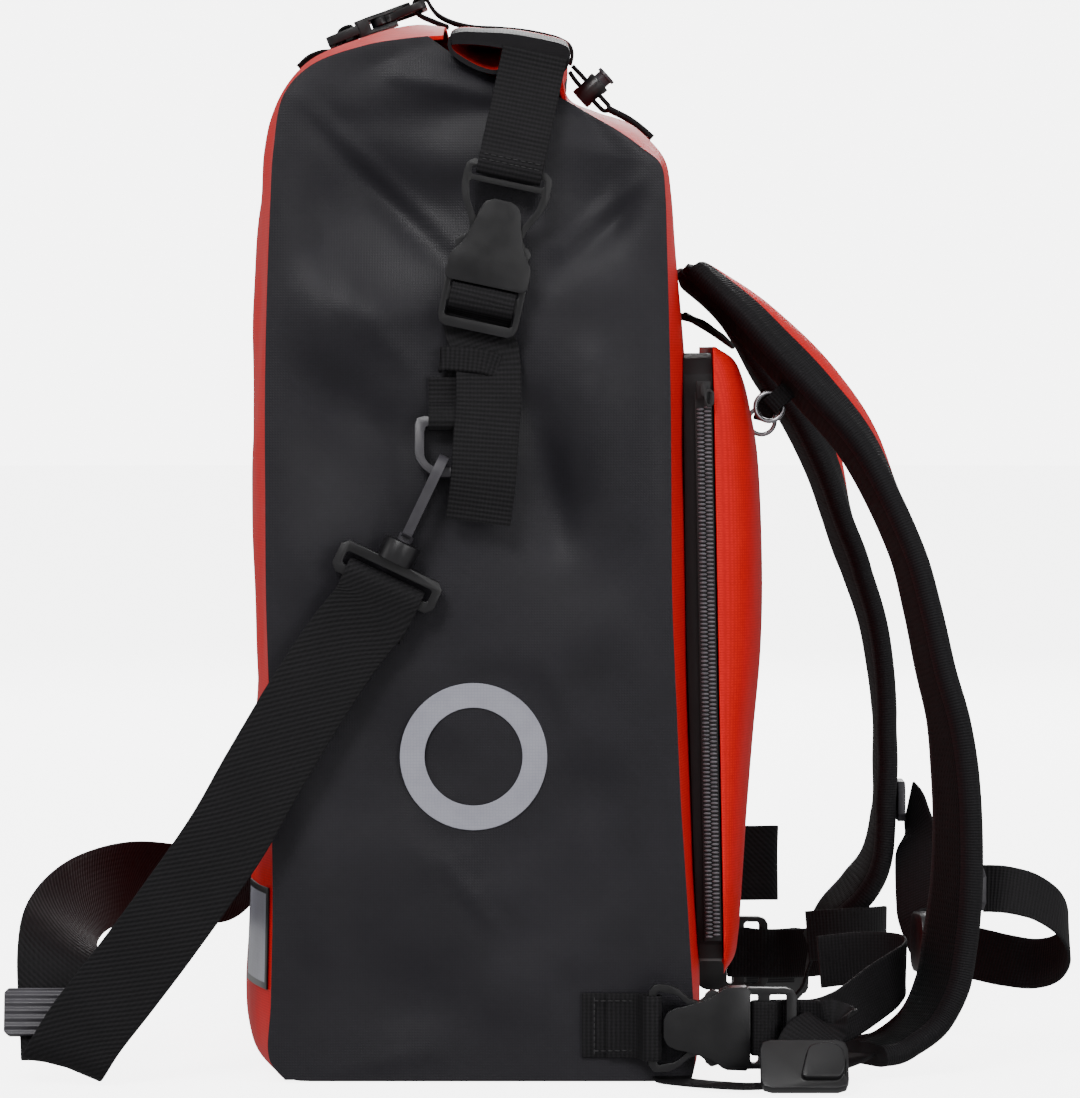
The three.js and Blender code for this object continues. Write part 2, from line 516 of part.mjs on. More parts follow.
const hookShape = [
  // out, up: the hook seen from its edge, from the foot up the spine, round the bend to the nose and back
  // inside
  [-9.4, 9.5], [-9.4, 41], [-8, 46.4], [-4, 48.8], [1.6, 48.8], [5.4, 46.4], [6.8, 41], [6.8, 34.5],
  [3, 34.5],
  [3, 41.4], [1.6, 44], [-1.2, 44.8], [-4, 44], [-5.4, 41.4], [-5.4, 18], [-2, 14], [2, 12.4], [6.8, 12.4],
  [6.8, 9.5],
  [3.2, 7.4], [-3.2, 7.4],
];
const hookPlate = plate(hookShape, { radius: 0.8, thick: 4.6 }).rotateZ(Math.PI / 2);
const hookPin = new THREE.CylinderGeometry(3.4, 3.4, 3.4, 12).rotateX(Math.PI / 2).translate(0, 0, 7);
const hookBody = join(hookPlate, hookPin);
const gateShape = [[3.1, 34.2], [6.7, 34.2], [6.7, 13.9], [5.8, 12.9], [4, 12.9], [3.1, 13.9]];
const gate = plate(gateShape, { radius: 0.9, thick: 3.4 }).rotateZ(Math.PI / 2);

for (const [group, side] of [[near, 'near'], [far, 'far']]) {
  add(group, `closure_webbing_${side}`, strap({ path: frameBar,
    across: frameBar.map(() => acrossTilted(closure)),
    width: webbing.belt, steps: 28 }), webbingBlack);
  buckleGroup(group, closure, [[`closure_male_${side}`, male, acetal],
    [`closure_female_${side}`, female, acetal]]);
  const adjusterPath = [...anchorRows, ...ladderRows, ...tailRows];
  const adjuster = strap({ path: adjusterPath, width: webbing.belt, steps: 38,
    across: adjusterPath.map((_, i) => (i > 2 && i < 15 ? acrossTilted(closure) : new THREE.Vector3(1, 0,
      -0.06))) });
  const keeper = strap({ path: [[-0.0995, -0.5147, 0.6853], [-0.0995, -0.528, 0.6884],
    [-0.0714, -0.532, 0.6884], [0, -0.5347, 0.6853],
    [0.0306, -0.5287, 0.6812]].map(spot), across: [0, 1, 2, 3, 4].map(() => new THREE.Vector3(0.12, 0, 1)),
    width: 11, steps: 8 });
  const loopPath = ringLoop.map(([y, z]) => new THREE.Vector3(sideRing.x, -y, z));
  const loop = strap({ path: loopPath, across: loopPath.map(() => alongX), width: 22, steps: 18 });
  add(group, `adjuster_webbing_${side}`, join(adjuster, keeper, loop), webbingBlack);
  const { half, rise, stock } = sideRing;
  const dee = plate([[-half, rise], [half, rise], [half, -rise * 0.45], [half * 0.55, -rise],
    [-half * 0.55, -rise],
    [-half, -rise * 0.45]], { radius: 4, thick: stock, segments: 2, holeRadius: 3,
    holes: [[[stock - half, rise - stock], [half - stock, rise - stock], [half - stock, -rise * 0.4],
      [half * 0.5, stock - rise], [-half * 0.5, stock - rise], [stock - half, -rise * 0.4]]] });
  const deeMesh = add(group, `side_ring_${side}`, dee, acetalGrey);
  deeMesh.position.set(sideRing.x, -sideRing.y, sideRing.z);
  deeMesh.rotation.x = sideRing.tilt;
  buckleGroup(group, hook, [[`hook_swivel_${side}`, join(swivelBase, swivelEye), acetal],
    [`snap_hook_${side}`, hookBody, acetalGrey], [`hook_gate_${side}`, gate, acetalGrey]]);
}

// Messenger strap: from the near hook's eye down to the floor, up through its slider, round in front of the
// bag and
// back to the far hook's eye, with both ends folded over the eyes and sewn
const eyeWrap = [[-1.6, -38], [-2.8, -28], [-4.1, -20], [-4.3, -15.6], [-3.2, -13], [0, -12.1], [3.2, -13],
  [4.3, -15.6],
  [4.1, -20], [3.2, -28]];
const nearEye = eyeWrap.map(([out, up]) => onTilted(hook, 0, out, up));
const farEye = eyeWrap.map(([out, up]) => onTilted(hook, 0, out, up).multiply(new THREE.Vector3(1, -1,
  1))).reverse();
const messenger = route([
  [-0.325, -0.5433, 0.4203, 0.84, 0, -0.54], [-0.4179, -0.55, 0.3634, 0.82, 0, -0.57],
  [-0.5179, -0.5567, 0.2954, 0.82, 0, -0.57],
  [-0.6015, -0.56, 0.236, 0.82, 0, -0.57], [-0.7556, -0.56, 0.147, 0.82, 0, -0.57],
  [-0.8495, -0.5567, 0.0965, 0.82, 0, -0.57],
  [-0.9316, -0.5533, 0.0534, 0.86, 0, -0.5], [-0.9745, -0.545, 0.0259, 0.93, 0, -0.36],
  [-0.9872, -0.5317, 0.0182, 0.955, 0, -0.3],
  [-0.9898, -0.518, 0.0217, 0.97, 0, -0.2], [-0.9929, -0.5073, 0.0393, 1, 0, 0],
  [-0.9954, -0.5027, 0.0528, 1, 0, 0],
  [-0.9974, -0.4983, 0.0663, 1, 0, 0], [-0.9995, -0.494, 0.0797, 1, 0, 0],
  [-1.0015, -0.4897, 0.0932, 1, 0, -0.02],
  [-1.0051, -0.47, 0.118, 0.97, 0.05, -0.2], [-1.0077, -0.42, 0.1387, 0.9, 0.15, -0.4],
  [-0.9974, -0.35, 0.1511, 0.75, 0.25, -0.6],
  [-0.9694, -0.26, 0.1615, 0.55, 0.35, -0.75], [-0.9235, -0.1333, 0.1656, 0.35, 0.45, -0.8],
  [-0.8673, 0, 0.1636, 0.15, 0.55, -0.8],
  [-0.801, 0.1167, 0.1553, 0, 0.55, -0.83], [-0.7321, 0.2333, 0.1449, 0, 0.5, -0.86],
  [-0.6684, 0.35, 0.1408, 0.1, 0.35, -0.93],
  [-0.6327, 0.4533, 0.1615, 0.4, 0.2, -0.88], [-0.5969, 0.5233, 0.2029, 0.7, 0.05, -0.7],
  [-0.5102, 0.5517, 0.2899, 0.82, 0, -0.57],
  [-0.4184, 0.55, 0.3582, 0.82, 0, -0.57], [-0.3265, 0.545, 0.4203, 0.84, 0, -0.54],
]);
const eyeAcross = nearEye.map(() => acrossTilted(hook));
add(part, 'messenger_strap', strap({ path: [...nearEye, ...messenger.path, ...farEye],
  across: [...eyeAcross, ...messenger.across, ...eyeAcross], width: webbing.wide, steps: 72 }), webbingBlack);

const tube = { half: 25.5, height: 22, thick: 7.4, slotHalf: 20.4, slot: 2.6 };
const sliderFrame = cut(plate(rectangle(-tube.half, tube.half, -tube.height / 2, tube.height / 2),
  { radius: 2, thick: tube.thick }), box(-tube.slotHalf, tube.slotHalf, -tube.slot / 2, tube.slot / 2, -20,
    20));
const strapSlider = add(part, 'strap_slider', sliderFrame, acetalGrey);
strapSlider.position.set(-195.5, -149.5, 32);
strapSlider.rotation.x = -0.19;

// A plain reflective patch with a dark rim, sewn low on the front panel
const patch = { low: 42, high: 89, from: -146, to: -96, thick: 0.9 };
const patchGrid = [0, 0.33, 0.67, 1].map((t) => [0, 0.2, 0.4, 0.6, 0.8, 1].map((u) => {
  const y = THREE.MathUtils.lerp(patch.from, patch.to, u);
  const z = THREE.MathUtils.lerp(patch.low, patch.high, t);
  const out = 1 - Math.abs(y / sideY) ** 3;
  const i = Math.max(1, seams.findIndex((row) => row.frontUp >= z));
  const [a, b] = [seams[i - 1], seams[i]];
  const share = (z - a.frontUp) / (b.frontUp - a.frontUp);
  const x = THREE.MathUtils.lerp(a.front + (a.frontMid - a.front) * out,
    b.front + (b.frontMid - b.front) * out, share);
  return new THREE.Vector3(x - patch.thick - 1.2 * gap, y, z);
}));
add(part, 'front_patch', wall(patchGrid, patch.thick), reflective);

// Centre strap over the rolled mouth, fastened in front by a smaller buckle of the same kind
const [topC, topS] = [Math.sin(top.tilt), Math.cos(top.tilt)];
const topFront = [[-0.4515, 0, 0.9723], [-0.426, 0, 0.9839], [-0.4005, 0, 0.9888]].map(spot);
const topTail = [[-0.4082, 0, 0.9942], [-0.4388, 0, 0.9894], [-0.4668, 0, 0.9793]].map(spot);
const topLadder = [
  // out, up: the same turn round the smaller buckle's ladder
  [-6, -31.5], [-4, -25.5], [-3.7, -20.8], [-2.9, -19.2], [0, -18.9], [2.9, -19.2], [3.7, -21], [3.7, -23.2],
  [2.9, -25.6], [0, -27.2], [-2.9, -28.2], [-4.2, -32],
];
const topBar = topLadder.map(([out, up]) => new THREE.Vector3(
  top.x + up * topC - out * topS, 0, top.z + up * topS + out * topC));
const topPath = [...topFront, ...topBar, ...topTail];
const topBuckle = new THREE.Group();
topBuckle.applyMatrix4(new THREE.Matrix4().makeBasis(new THREE.Vector3(0, -1, 0), new THREE.Vector3(topS, 0,
  -topC),
  new THREE.Vector3(topC, 0, topS)).setPosition(top.x, 0, top.z));
topBuckle.scale.set(top.broad, top.broad, top.long);
add(topBuckle, 'top_male', buckleMale({ frame: top.frame }), acetal);
add(topBuckle, 'top_female', female, acetal);
part.add(topBuckle);
add(part, 'top_webbing', strap({ path: topPath, across: topPath.map(() => alongY), width: webbing.narrow,
  steps: 34 }),
  webbingBlack);
const belt = [[-0.0969, 0, 1.0193], [-0.1378, 0, 1.0257], [-0.1684, 0, 1.0315], [-0.1816, 0, 1.0373],
  [-0.1776, 0, 1.0453],
  [-0.1628, 0, 1.048], [-0.15, 0, 1.047], [-0.1429, 0, 1.0418], [-0.125, 0, 1.0323], [-0.0918, 0, 1.0246],
  [-0.0408, 0, 1.0193], [0.0306, 0, 1.0174],
  [0.0918, 0, 1.0149], [0.1429, 0, 1.011], [0.1786, 0, 1.0066], [0.202, 0, 1.0004], [0.2087, 0, 0.9917],
  [0.2041, 0, 0.9824]].map(spot);
add(part, 'top_belt', strap({ path: belt, across: belt.map(() => alongY), width: webbing.narrow, steps: 26 }),
  webbingBlack);

// Elastic cord from the roll down to a tab on the back, through a lock with a sprung button
const lock = { x: 49.4, z: 461.8, tilt: THREE.MathUtils.degToRad(42), half: 5.7, length: 13, hole: 2.4 };
const cordRadius = 1.1;
const cordAt = (across, down) => new THREE.Vector3(
  lock.x + down * Math.sin(lock.tilt) + across * Math.cos(lock.tilt), 0,
  lock.z - down * Math.cos(lock.tilt) + across * Math.sin(lock.tilt));
const cordLine = new THREE.CatmullRomCurve3([cordAt(-1.2, -13.4), cordAt(-1.9, -8), cordAt(-1.9, 0),
  cordAt(-1.9, 8),
  cordAt(-1.4, 11.6), cordAt(0.3, 12.9), cordAt(1.8, 11.6), cordAt(1.9, 8), cordAt(1.9, 0), cordAt(1.9, -8),
  cordAt(1.7, -14.6)], false, 'centripetal');
const cordSection = new THREE.Shape().absarc(0, 0, cordRadius, 0, 2 * Math.PI);
const cord = new THREE.ExtrudeGeometry(cordSection, { steps: 24, extrudePath: cordLine, curveSegments: 3,
  bevelEnabled: false });
const lockGroup = new THREE.Group();
lockGroup.position.set(lock.x, 0, lock.z);
lockGroup.rotation.y = -lock.tilt;
const barrel = new THREE.CylinderGeometry(lock.half, lock.half * 0.92, lock.length, 16).rotateZ(-Math.PI / 2);
const bore = new THREE.CylinderGeometry(4.3, 4.3, 5, 16).rotateZ(-Math.PI / 2).translate(lock.length / 2, 0,
  0);
add(lockGroup, 'cord_lock', cut(barrel, bore, box(-3.5, 3.5, -1.6, 1.6, -10, 10)), acetal);
const buttonStem = new THREE.CylinderGeometry(3.9, 3.9, 3.4, 16).rotateZ(-Math.PI / 2).translate(8.1, 0, 0);
const buttonCap = new THREE.CylinderGeometry(4.9, 4.9, 1.6, 16).rotateZ(-Math.PI / 2).translate(10.6, 0, 0);
add(lockGroup, 'lock_button', join(buttonStem, buttonCap), acetalGrey);
part.add(lockGroup);
const tabPath = [[0.2939, 0, 0.9387], [0.3163, 0, 0.9342], [0.3444, 0, 0.9284], [0.3724, 0, 0.9205],
  [0.4056, 0, 0.9089]].map(spot);
const tab = strap({ path: tabPath, across: tabPath.map(() => alongY), width: 16, thick: 2.8, steps: 7 });
add(part, 'top_cord', join(cord, tab), webbingBlack);

// Shoulder straps: padded, sewn to the back under the cover's top, curving down to the floor. The last
// column is how
// far the strap leans over, in degrees, about its own length.
function leaning(rows, outside) {
  const path = rows.map(spot);
  const line = new THREE.CatmullRomCurve3(path, false, 'centripetal');
  const across = rows.map(([, , , lean], i) => {
    const t = line.getTangent(i / (rows.length - 1));
    const out = new THREE.Vector3(-t.z, 0, t.x).normalize();
    const a = THREE.MathUtils.degToRad(lean);
    return out.multiplyScalar(Math.sin(a)).addScaledVector(alongY, outside * Math.cos(a));
  });
  return { path, across };
}
const nearPad = leaning([
  [0.4786, -0.2167, 0.7778, 0], [0.5071, -0.2177, 0.7681, 2], [0.5526, -0.23, 0.7503, 3],
  [0.6122, -0.2467, 0.7259, 4], [0.6694, -0.26, 0.6994, 5],
  [0.7719, -0.2733, 0.6538, 6], [0.8883, -0.2867, 0.5975, 6], [1.0041, -0.3067, 0.5025, 6],
  [1.0418, -0.3167, 0.4466, 7],
  [1.0745, -0.3267, 0.3847, 8], [1.1031, -0.3333, 0.3385, 10], [1.1184, -0.3367, 0.2899, 12],
  [1.1255, -0.34, 0.2319, 13],
  [1.1214, -0.3433, 0.1739, 14], [1.1077, -0.3467, 0.1255, 15], [1.0878, -0.3533, 0.0824, 14],
  [1.0434, -0.3667, 0.0487, 12],
  [0.9694, -0.3933, 0.0277, 9], [0.898, -0.4267, 0.0215, 6],
], -1);
const farPad = leaning([
  [0.4786, 0.2067, 0.7778, 0], [0.5071, 0.2073, 0.7681, 0], [0.574, 0.2133, 0.7447, 0],
  [0.6383, 0.2267, 0.712, 0], [0.6995, 0.24, 0.6708, 2],
  [0.7638, 0.25, 0.6348, 4], [0.8413, 0.2633, 0.5729, 4], [0.8883, 0.2733, 0.5209, 4],
  [0.9347, 0.28, 0.4692, 4],
  [0.9765, 0.2867, 0.4172, 3], [0.998, 0.2933, 0.3681, 2], [1.0087, 0.2967, 0.3234, 0],
  [1.0117, 0.3, 0.2702, 0],
  [1.0071, 0.3, 0.2133, 0], [0.9878, 0.3, 0.1677, 4], [0.9439, 0.3, 0.1387, 10],
  [0.8776, 0.3067, 0.1097, 12], [0.8342, 0.3133, 0.0787, 8],
], -1);
const tapered = (t) => 1 - 0.45 * THREE.MathUtils.smoothstep(t, 0.82, 1);
const thinner = (t) => 0.3 + 0.7 * THREE.MathUtils.smoothstep(t, 0, 0.07);
const padded = { width: pad.width, thick: pad.thick, section: paddedSection, taper: tapered, fill: thinner };

// Under each strap, a round ring in a short loop of webbing
const yoke = { ring: 6.6, stock: 1.1, width: 9 };
for (const [side, path, steps, x, y, z, slope] of [['near', nearPad, 22, 141.3, -80, 317.1, 0.74],
  ['far', farPad, 20, 138.4, 72, 311.7, 1.3]]) {
  const drop = new THREE.Vector3(-Math.cos(slope), 0, -Math.sin(slope));
  const start = new THREE.Vector3(x, y, z);
  const across = new THREE.Vector3(Math.sin(slope), 0, -Math.cos(slope));
  const loopPath = [[-2.2, -4], [-2.2, 7.6], [0, 10.6], [2.2, 7.6], [2.2, -4]].map(([aside, down]) => (
    start.clone().addScaledVector(drop, down).addScaledVector(alongY, aside)));
  const loop = strap({ path: loopPath, across: loopPath.map(() => across), width: yoke.width, steps: 10 });
  add(part, `shoulder_strap_${side}`, join(strap({ ...path, ...padded, steps }), loop), meshBlack);
  const yokeRing = new THREE.TorusGeometry(yoke.ring, yoke.stock, 6, 14);
  add(part, `yoke_ring_${side}`, yokeRing.rotateX(Math.PI / 2), steel)
    .position.copy(start.addScaledVector(drop, 11));
}

// Carry handle: webbing in an arc between the straps, over the cover's top corner
const handle = route([
  [0.4811, -0.15, 0.7296, 0, -1, 0], [0.5031, -0.1483, 0.7275, 0.1, -0.98, -0.05],
  [0.5357, -0.1133, 0.7197, 0.55, -0.8, -0.3],
  [0.5612, -0.0567, 0.7126, 0.78, -0.25, -0.55], [0.5684, 0, 0.7106, 0.8, 0, -0.6],
  [0.5612, 0.0567, 0.7126, 0.78, 0.25, -0.55],
  [0.5357, 0.1133, 0.7197, 0.55, 0.8, -0.3], [0.5031, 0.1483, 0.7275, 0.1, 0.98, -0.05],
  [0.4811, 0.15, 0.7296, 0, 1, 0],
]);
add(part, 'carry_handle', strap({ ...handle, width: 20, thick: 2, steps: 18 }), webbingBlack);

// Sternum strap: a slider on each shoulder strap, a small buckle between them, and the webbing's slack in a
// loop
const chestSlider = plate(rectangle(-15, 15, -10, 10), { radius: 4, thick: 4 }).rotateZ(Math.PI / 2);
const nearSlider = add(part, 'sternum_slider_near', chestSlider, acetalGrey);
nearSlider.position.set(227.8, -100.9, 85);
nearSlider.rotation.z = THREE.MathUtils.degToRad(14);
const farSlider = add(part, 'sternum_slider_far', chestSlider, acetalGrey);
farSlider.position.set(205.8, 90, 111);
const slack = route([
  [1.1867, -0.3387, 0.1752, 0, 0.56, 0.83], [1.2092, -0.34, 0.1752, 0, 0.56, 0.83],
  [1.2449, -0.3433, 0.1741, 0, 0.56, 0.83],
  [1.3112, -0.34, 0.1669, 0, 0.56, 0.83], [1.3735, -0.32, 0.1482, 0, 0.56, 0.83],
  [1.398, -0.2867, 0.1236, 0, 0.56, 0.83],
  [1.3801, -0.2467, 0.1025, 0, 0.56, 0.83], [1.3311, -0.2067, 0.0932, 0, 0.5, 0.86],
  [1.2633, -0.1733, 0.0942, 0, 0.4, 0.9],
  [1.1939, -0.1333, 0.0983, 0, 0.3, 0.95], [1.1378, -0.0867, 0.1, 0, 0.15, 0.98],
  [1.0939, -0.0423, 0.1004, 0, 0, 1],
]);
add(part, 'sternum_webbing_near', strap({ ...slack, width: webbing.narrow, steps: 24 }), webbingBlack);
const chest = route([
  [1.0745, 0.2967, 0.2277, 0, 0.1, 1], [1.0867, 0.26, 0.2133, 0.2, 0.1, 0.9],
  [1.0842, 0.2067, 0.1781, 0.5, 0.2, 0.7],
  [1.0791, 0.1467, 0.1366, 0.5, 0.2, 0.75], [1.074, 0.1033, 0.1097, 0.3, 0.1, 0.9],
  [1.0699, 0.0647, 0.1023, 0, 0, 1],
]);
add(part, 'sternum_webbing_far', strap({ ...chest, width: webbing.narrow, steps: 14 }), webbingBlack);
const chestBuckle = plate([[-13.5, -9], [-9, -14.5], [9, -14.5], [13.5, -9], [13.5, 9], [9, 14.5],
  [-9, 14.5], [-13.5, 9]],
  { radius: 2.5, thick: 8 });
const chestMesh = add(part, 'sternum_buckle', chestBuckle, acetal);
chestMesh.position.set(212, 1.6, 48.5);
chestMesh.rotation.z = THREE.MathUtils.degToRad(99);

// Lower ends, the same on both sides: a tab sewn to the side panel holds a buckle, and the webbing round its
// ladder
// runs to a lock on the floor one way and into a folded tail the other way
const tabWrap = [
  // along, out: the tab's middle from its sewn end, under the buckle's bar, round it and back over itself
  [44.6, 152.9], [56, 152.9], [68, 152.9], [74, 155.8], [77.6, 158.5], [80, 161], [80.4, 163.6],
  [79.7, 166.6],
  [76.9, 167.6], [73.4, 166.3], [72.2, 161.8], [70.2, 156.8], [65.5, 154.8], [56, 154.75],
];
const tail = route([
  [0.8061, -0.2, 0.0942, 0, 0, 1], [0.8929, -0.19, 0.0973, 0, 0, 1], [0.9694, -0.2033, 0.0983, 0, 0, 1],
  [1.0051, -0.2367, 0.0973, 0, 0, 1],
  [1.0051, -0.28, 0.0932, 0, 0, 1], [0.9776, -0.3267, 0.087, -0.1, 0.1, 1],
  [0.9286, -0.3733, 0.0766, -0.2, 0.2, 0.95],
  [0.8673, -0.4333, 0.0642, -0.1, 0.2, 0.97], [0.8163, -0.4867, 0.058, 0, 0.1, 1],
  [0.7653, -0.522, 0.0549, 0, 0, 1],
]);
const toLock = route([
  [0.7653, -0.5353, 0.0549, 0, 0, 1], [0.8036, -0.5417, 0.0559, 0.35, -0.3, 0.87],
  [0.8189, -0.555, 0.058, 0.8, -0.1, 0.6],
  [0.8036, -0.5633, 0.0588, 1, 0, 0], [0.7679, -0.5793, 0.0522, 1, 0, 0], [0.7398, -0.5953, 0.0379, 1, 0, 0],
  [0.7398, -0.6233, 0.0178, 1, 0, 0],
]);
const ladderTurn = overBar.map(([out, up]) => onTilted(lower, 0, out, up));
const lowerPath = [...tail.path, ...ladderTurn, ...toLock.path];
const lowerAcross = [...tail.across, ...ladderTurn.map(() => alongZ), ...toLock.across];
const floorLock = { x: 145, y: 190, z: 12.1, lean: 0.69, half: 20, long: 26, thick: 5 };
const lockBody = plate(rectangle(-floorLock.half, floorLock.half, -floorLock.long / 2, floorLock.long / 2),
  { radius: 5, thick: floorLock.thick, segments: 2 });
const lockLever = plate([[-2, -9], [16, -9], [18, -4], [18, 6], [12, 10], [2, 8]],
  { radius: 3, thick: 5, segments: 3 })
  .translate(0, -3.6, 0);
for (const [group, side] of [[near, 'near'], [far, 'far']]) {
  const path = tabWrap.map(([x, y]) => new THREE.Vector3(x, -y, lower.z));
  add(group, `lower_tab_${side}`, strap({ path, across: path.map(() => alongZ), width: webbing.belt,
    steps: 26 }),
    webbingBlack);
  buckleGroup(group, lower, [[`lower_male_${side}`, buckleMale({ frame: lower.frame }), acetal],
    [`lower_female_${side}`, female, acetal]]);
  add(group, `lower_webbing_${side}`, strap({ path: lowerPath, across: lowerAcross, width: webbing.narrow,
    steps: 56 }),
    webbingBlack);
  const lockMesh = add(group, `floor_lock_${side}`, join(lockBody, lockLever), acetal);
  lockMesh.position.set(floorLock.x, -floorLock.y, floorLock.z);
  lockMesh.rotation.x = -floorLock.lean;
}

// Webbing along the floor from the base to each shoulder strap's end, under the lock on the near side
const floorNear = route([
  [0.4388, -0.5107, 0.005, 1, 0, 0], [0.4439, -0.5333, 0.0039, 0.97, 0.15, 0],
  [0.4898, -0.5633, 0.0037, 0.75, 0.66, 0],
  [0.5459, -0.5867, 0.0037, 0.5, 0.87, 0], [0.6122, -0.6017, 0.0037, 0.2, 0.98, 0],
  [0.6837, -0.6033, 0.0058, -0.1, 1, 0],
  [0.7551, -0.58, 0.0104, -0.5, 0.87, 0], [0.8061, -0.5367, 0.017, -0.75, 0.65, 0],
  [0.8469, -0.4933, 0.0199, -0.85, 0.55, 0],
  [0.8648, -0.4633, 0.0209, -0.85, 0.55, 0], [0.8786, -0.4407, 0.0215, -0.7, 0.7, 0],
]);
add(part, 'harness_webbing_near', strap({ ...floorNear, width: 18, steps: 20 }), webbingBlack);
const floorFar = route([
  [0.499, 0.4667, 0.0048, 0, -1, 0], [0.551, 0.46, 0.0039, -0.1, -1, 0],
  [0.6327, 0.4333, 0.0037, -0.45, -0.9, 0],
  [0.7143, 0.39, 0.0062, -0.55, -0.83, 0], [0.7755, 0.35, 0.0186, -0.4, -0.9, 0],
  [0.8061, 0.3283, 0.0373, -0.1, -1, 0],
  [0.8179, 0.3217, 0.058, 0, -1, 0], [0.8316, 0.3147, 0.077, 0, -1, 0],
]);
add(part, 'harness_webbing_far', strap({ ...floorFar, width: 18, steps: 14 }), webbingBlack);

// Wide loop of webbing on the back beside the cover, on the far side
const waist = route([
  [0.4969, 0.4267, 0.1573, 0, 0, 1], [0.5714, 0.4217, 0.1573, 0, 0, 1], [0.6735, 0.4183, 0.1573, 0, 0, 1],
  [0.7296, 0.4267, 0.1573, 0, 0, 1],
  [0.7429, 0.4417, 0.1563, 0, 0, 1], [0.7194, 0.4567, 0.1553, 0, 0, 1], [0.6378, 0.4613, 0.1553, 0, 0, 1],
  [0.551, 0.4567, 0.1553, 0, 0, 1],
  [0.4944, 0.4487, 0.1553, 0, 0, 1],
]);
add(part, 'waist_webbing', strap({ ...waist, width: webbing.wide, steps: 18 }), webbingBlack);

export default part;
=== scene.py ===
# A roll-top cycling bag of coated cloth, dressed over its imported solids.
# Metres in the scene; the tables below are in millimetres, in the same frame as the solids.
import math

import bmesh
import bpy
import numpy as np
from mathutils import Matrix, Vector


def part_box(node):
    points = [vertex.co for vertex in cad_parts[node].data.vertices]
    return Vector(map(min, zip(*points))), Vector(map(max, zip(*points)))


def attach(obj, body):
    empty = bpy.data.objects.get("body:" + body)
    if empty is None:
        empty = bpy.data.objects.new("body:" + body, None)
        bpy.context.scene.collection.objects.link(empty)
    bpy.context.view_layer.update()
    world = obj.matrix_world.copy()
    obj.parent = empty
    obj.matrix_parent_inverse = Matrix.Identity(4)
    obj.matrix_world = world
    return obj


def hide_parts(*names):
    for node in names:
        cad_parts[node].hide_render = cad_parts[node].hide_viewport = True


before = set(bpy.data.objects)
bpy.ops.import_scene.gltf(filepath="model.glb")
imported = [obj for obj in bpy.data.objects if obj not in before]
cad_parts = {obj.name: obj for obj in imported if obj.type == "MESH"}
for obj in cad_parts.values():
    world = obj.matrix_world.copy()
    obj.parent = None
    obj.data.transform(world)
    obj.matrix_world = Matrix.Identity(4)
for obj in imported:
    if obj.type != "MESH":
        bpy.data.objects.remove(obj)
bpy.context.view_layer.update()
mm = 0.001

# Camera at the photograph's angle
view = {"target": (0.0253, 0.0, 0.240), "distance": 2.75, "elevation": 2.0, "lens": 189.0}
tilt = math.radians(view["elevation"])
target = Vector(view["target"])
camera = bpy.data.objects.new("camera", bpy.data.cameras.new("camera"))
camera.data.sensor_fit = "HORIZONTAL"
camera.data.sensor_width = 36.0
camera.data.lens = view["lens"]
camera.data.clip_end = 30.0
camera.location = target + view["distance"] * Vector((0, -math.cos(tilt), math.sin(tilt)))
camera.rotation_euler = (target - camera.location).to_track_quat("-Z", "Y").to_euler()
bpy.context.scene.collection.objects.link(camera)
bpy.context.scene.camera = camera
print("camera set")


def linear(hexValue):
    parts = [((hexValue >> shift) & 255) / 255 for shift in (16, 8, 0)]
    return (*[c / 12.92 if c <= 0.04045 else ((c + 0.055) / 1.055) ** 2.4 for c in parts], 1.0)


def addNode(tree, kind, inputs=None, **settings):
    node = tree.nodes.new(kind)
    for key, value in settings.items():
        setattr(node, key, value)
    for socket, value in (inputs or {}).items():
        if isinstance(value, bpy.types.NodeSocket):
            tree.links.new(value, node.inputs[socket])
        else:
            node.inputs[socket].default_value = value
    return node


def newMaterial(name, shader):
    material = bpy.data.materials.new(name)
    material.use_nodes = True
    bsdf = material.node_tree.nodes["Principled BSDF"]
    for socket, value in shader.items():
        bsdf.inputs[socket].default_value = value
    return material, material.node_tree, bsdf


bandLength = 0.3142  # a wave texture of scale 1 repeats after this many units


def waves(tree, vector, period, direction):
    return addNode(tree, "ShaderNodeTexWave", {"Vector": vector, "Scale": bandLength / (period * mm), "Distortion": 0.0,
                   "Detail Scale": 2.0}, wave_type="BANDS", bands_direction=direction,
                   wave_profile="SIN").outputs["Fac"]


def noise(tree, vector, size, detail=3.0, roughness=0.5):
    return addNode(tree, "ShaderNodeTexNoise", {"Vector": vector, "Scale": 1.0 / (size * mm), "Detail": detail,
                   "Roughness": roughness}).outputs["Fac"]


def blendColours(tree, factor, first, second):
    return addNode(tree, "ShaderNodeMix", {0: factor, 6: first, 7: second}, data_type="RGBA").outputs[2]


def ranged(tree, value, low, high, outLow, outHigh):
    return addNode(tree, "ShaderNodeMapRange", {"Value": value, "From Min": low, "From Max": high, "To Min": outLow,
                   "To Max": outHigh}).outputs["Result"]


def maths(tree, operation, first, second):
    return addNode(tree, "ShaderNodeMath", {0: first, 1: second}, operation=operation).outputs[0]


def bumped(tree, bsdf, heights):
    normal = None
    for height, distance, strength in heights:
        inputs = {"Height": height, "Distance": distance * mm, "Strength": strength}
        if normal is not None:
            inputs["Normal"] = normal
        normal = addNode(tree, "ShaderNodeBump", inputs).outputs["Normal"]
    tree.links.new(normal, bsdf.inputs["Normal"])


def objectPlace(tree):
    return addNode(tree, "ShaderNodeTexCoord").outputs["Object"]


def clothPlace(tree):
    return addNode(tree, "ShaderNodeTexCoord").outputs["UV"]


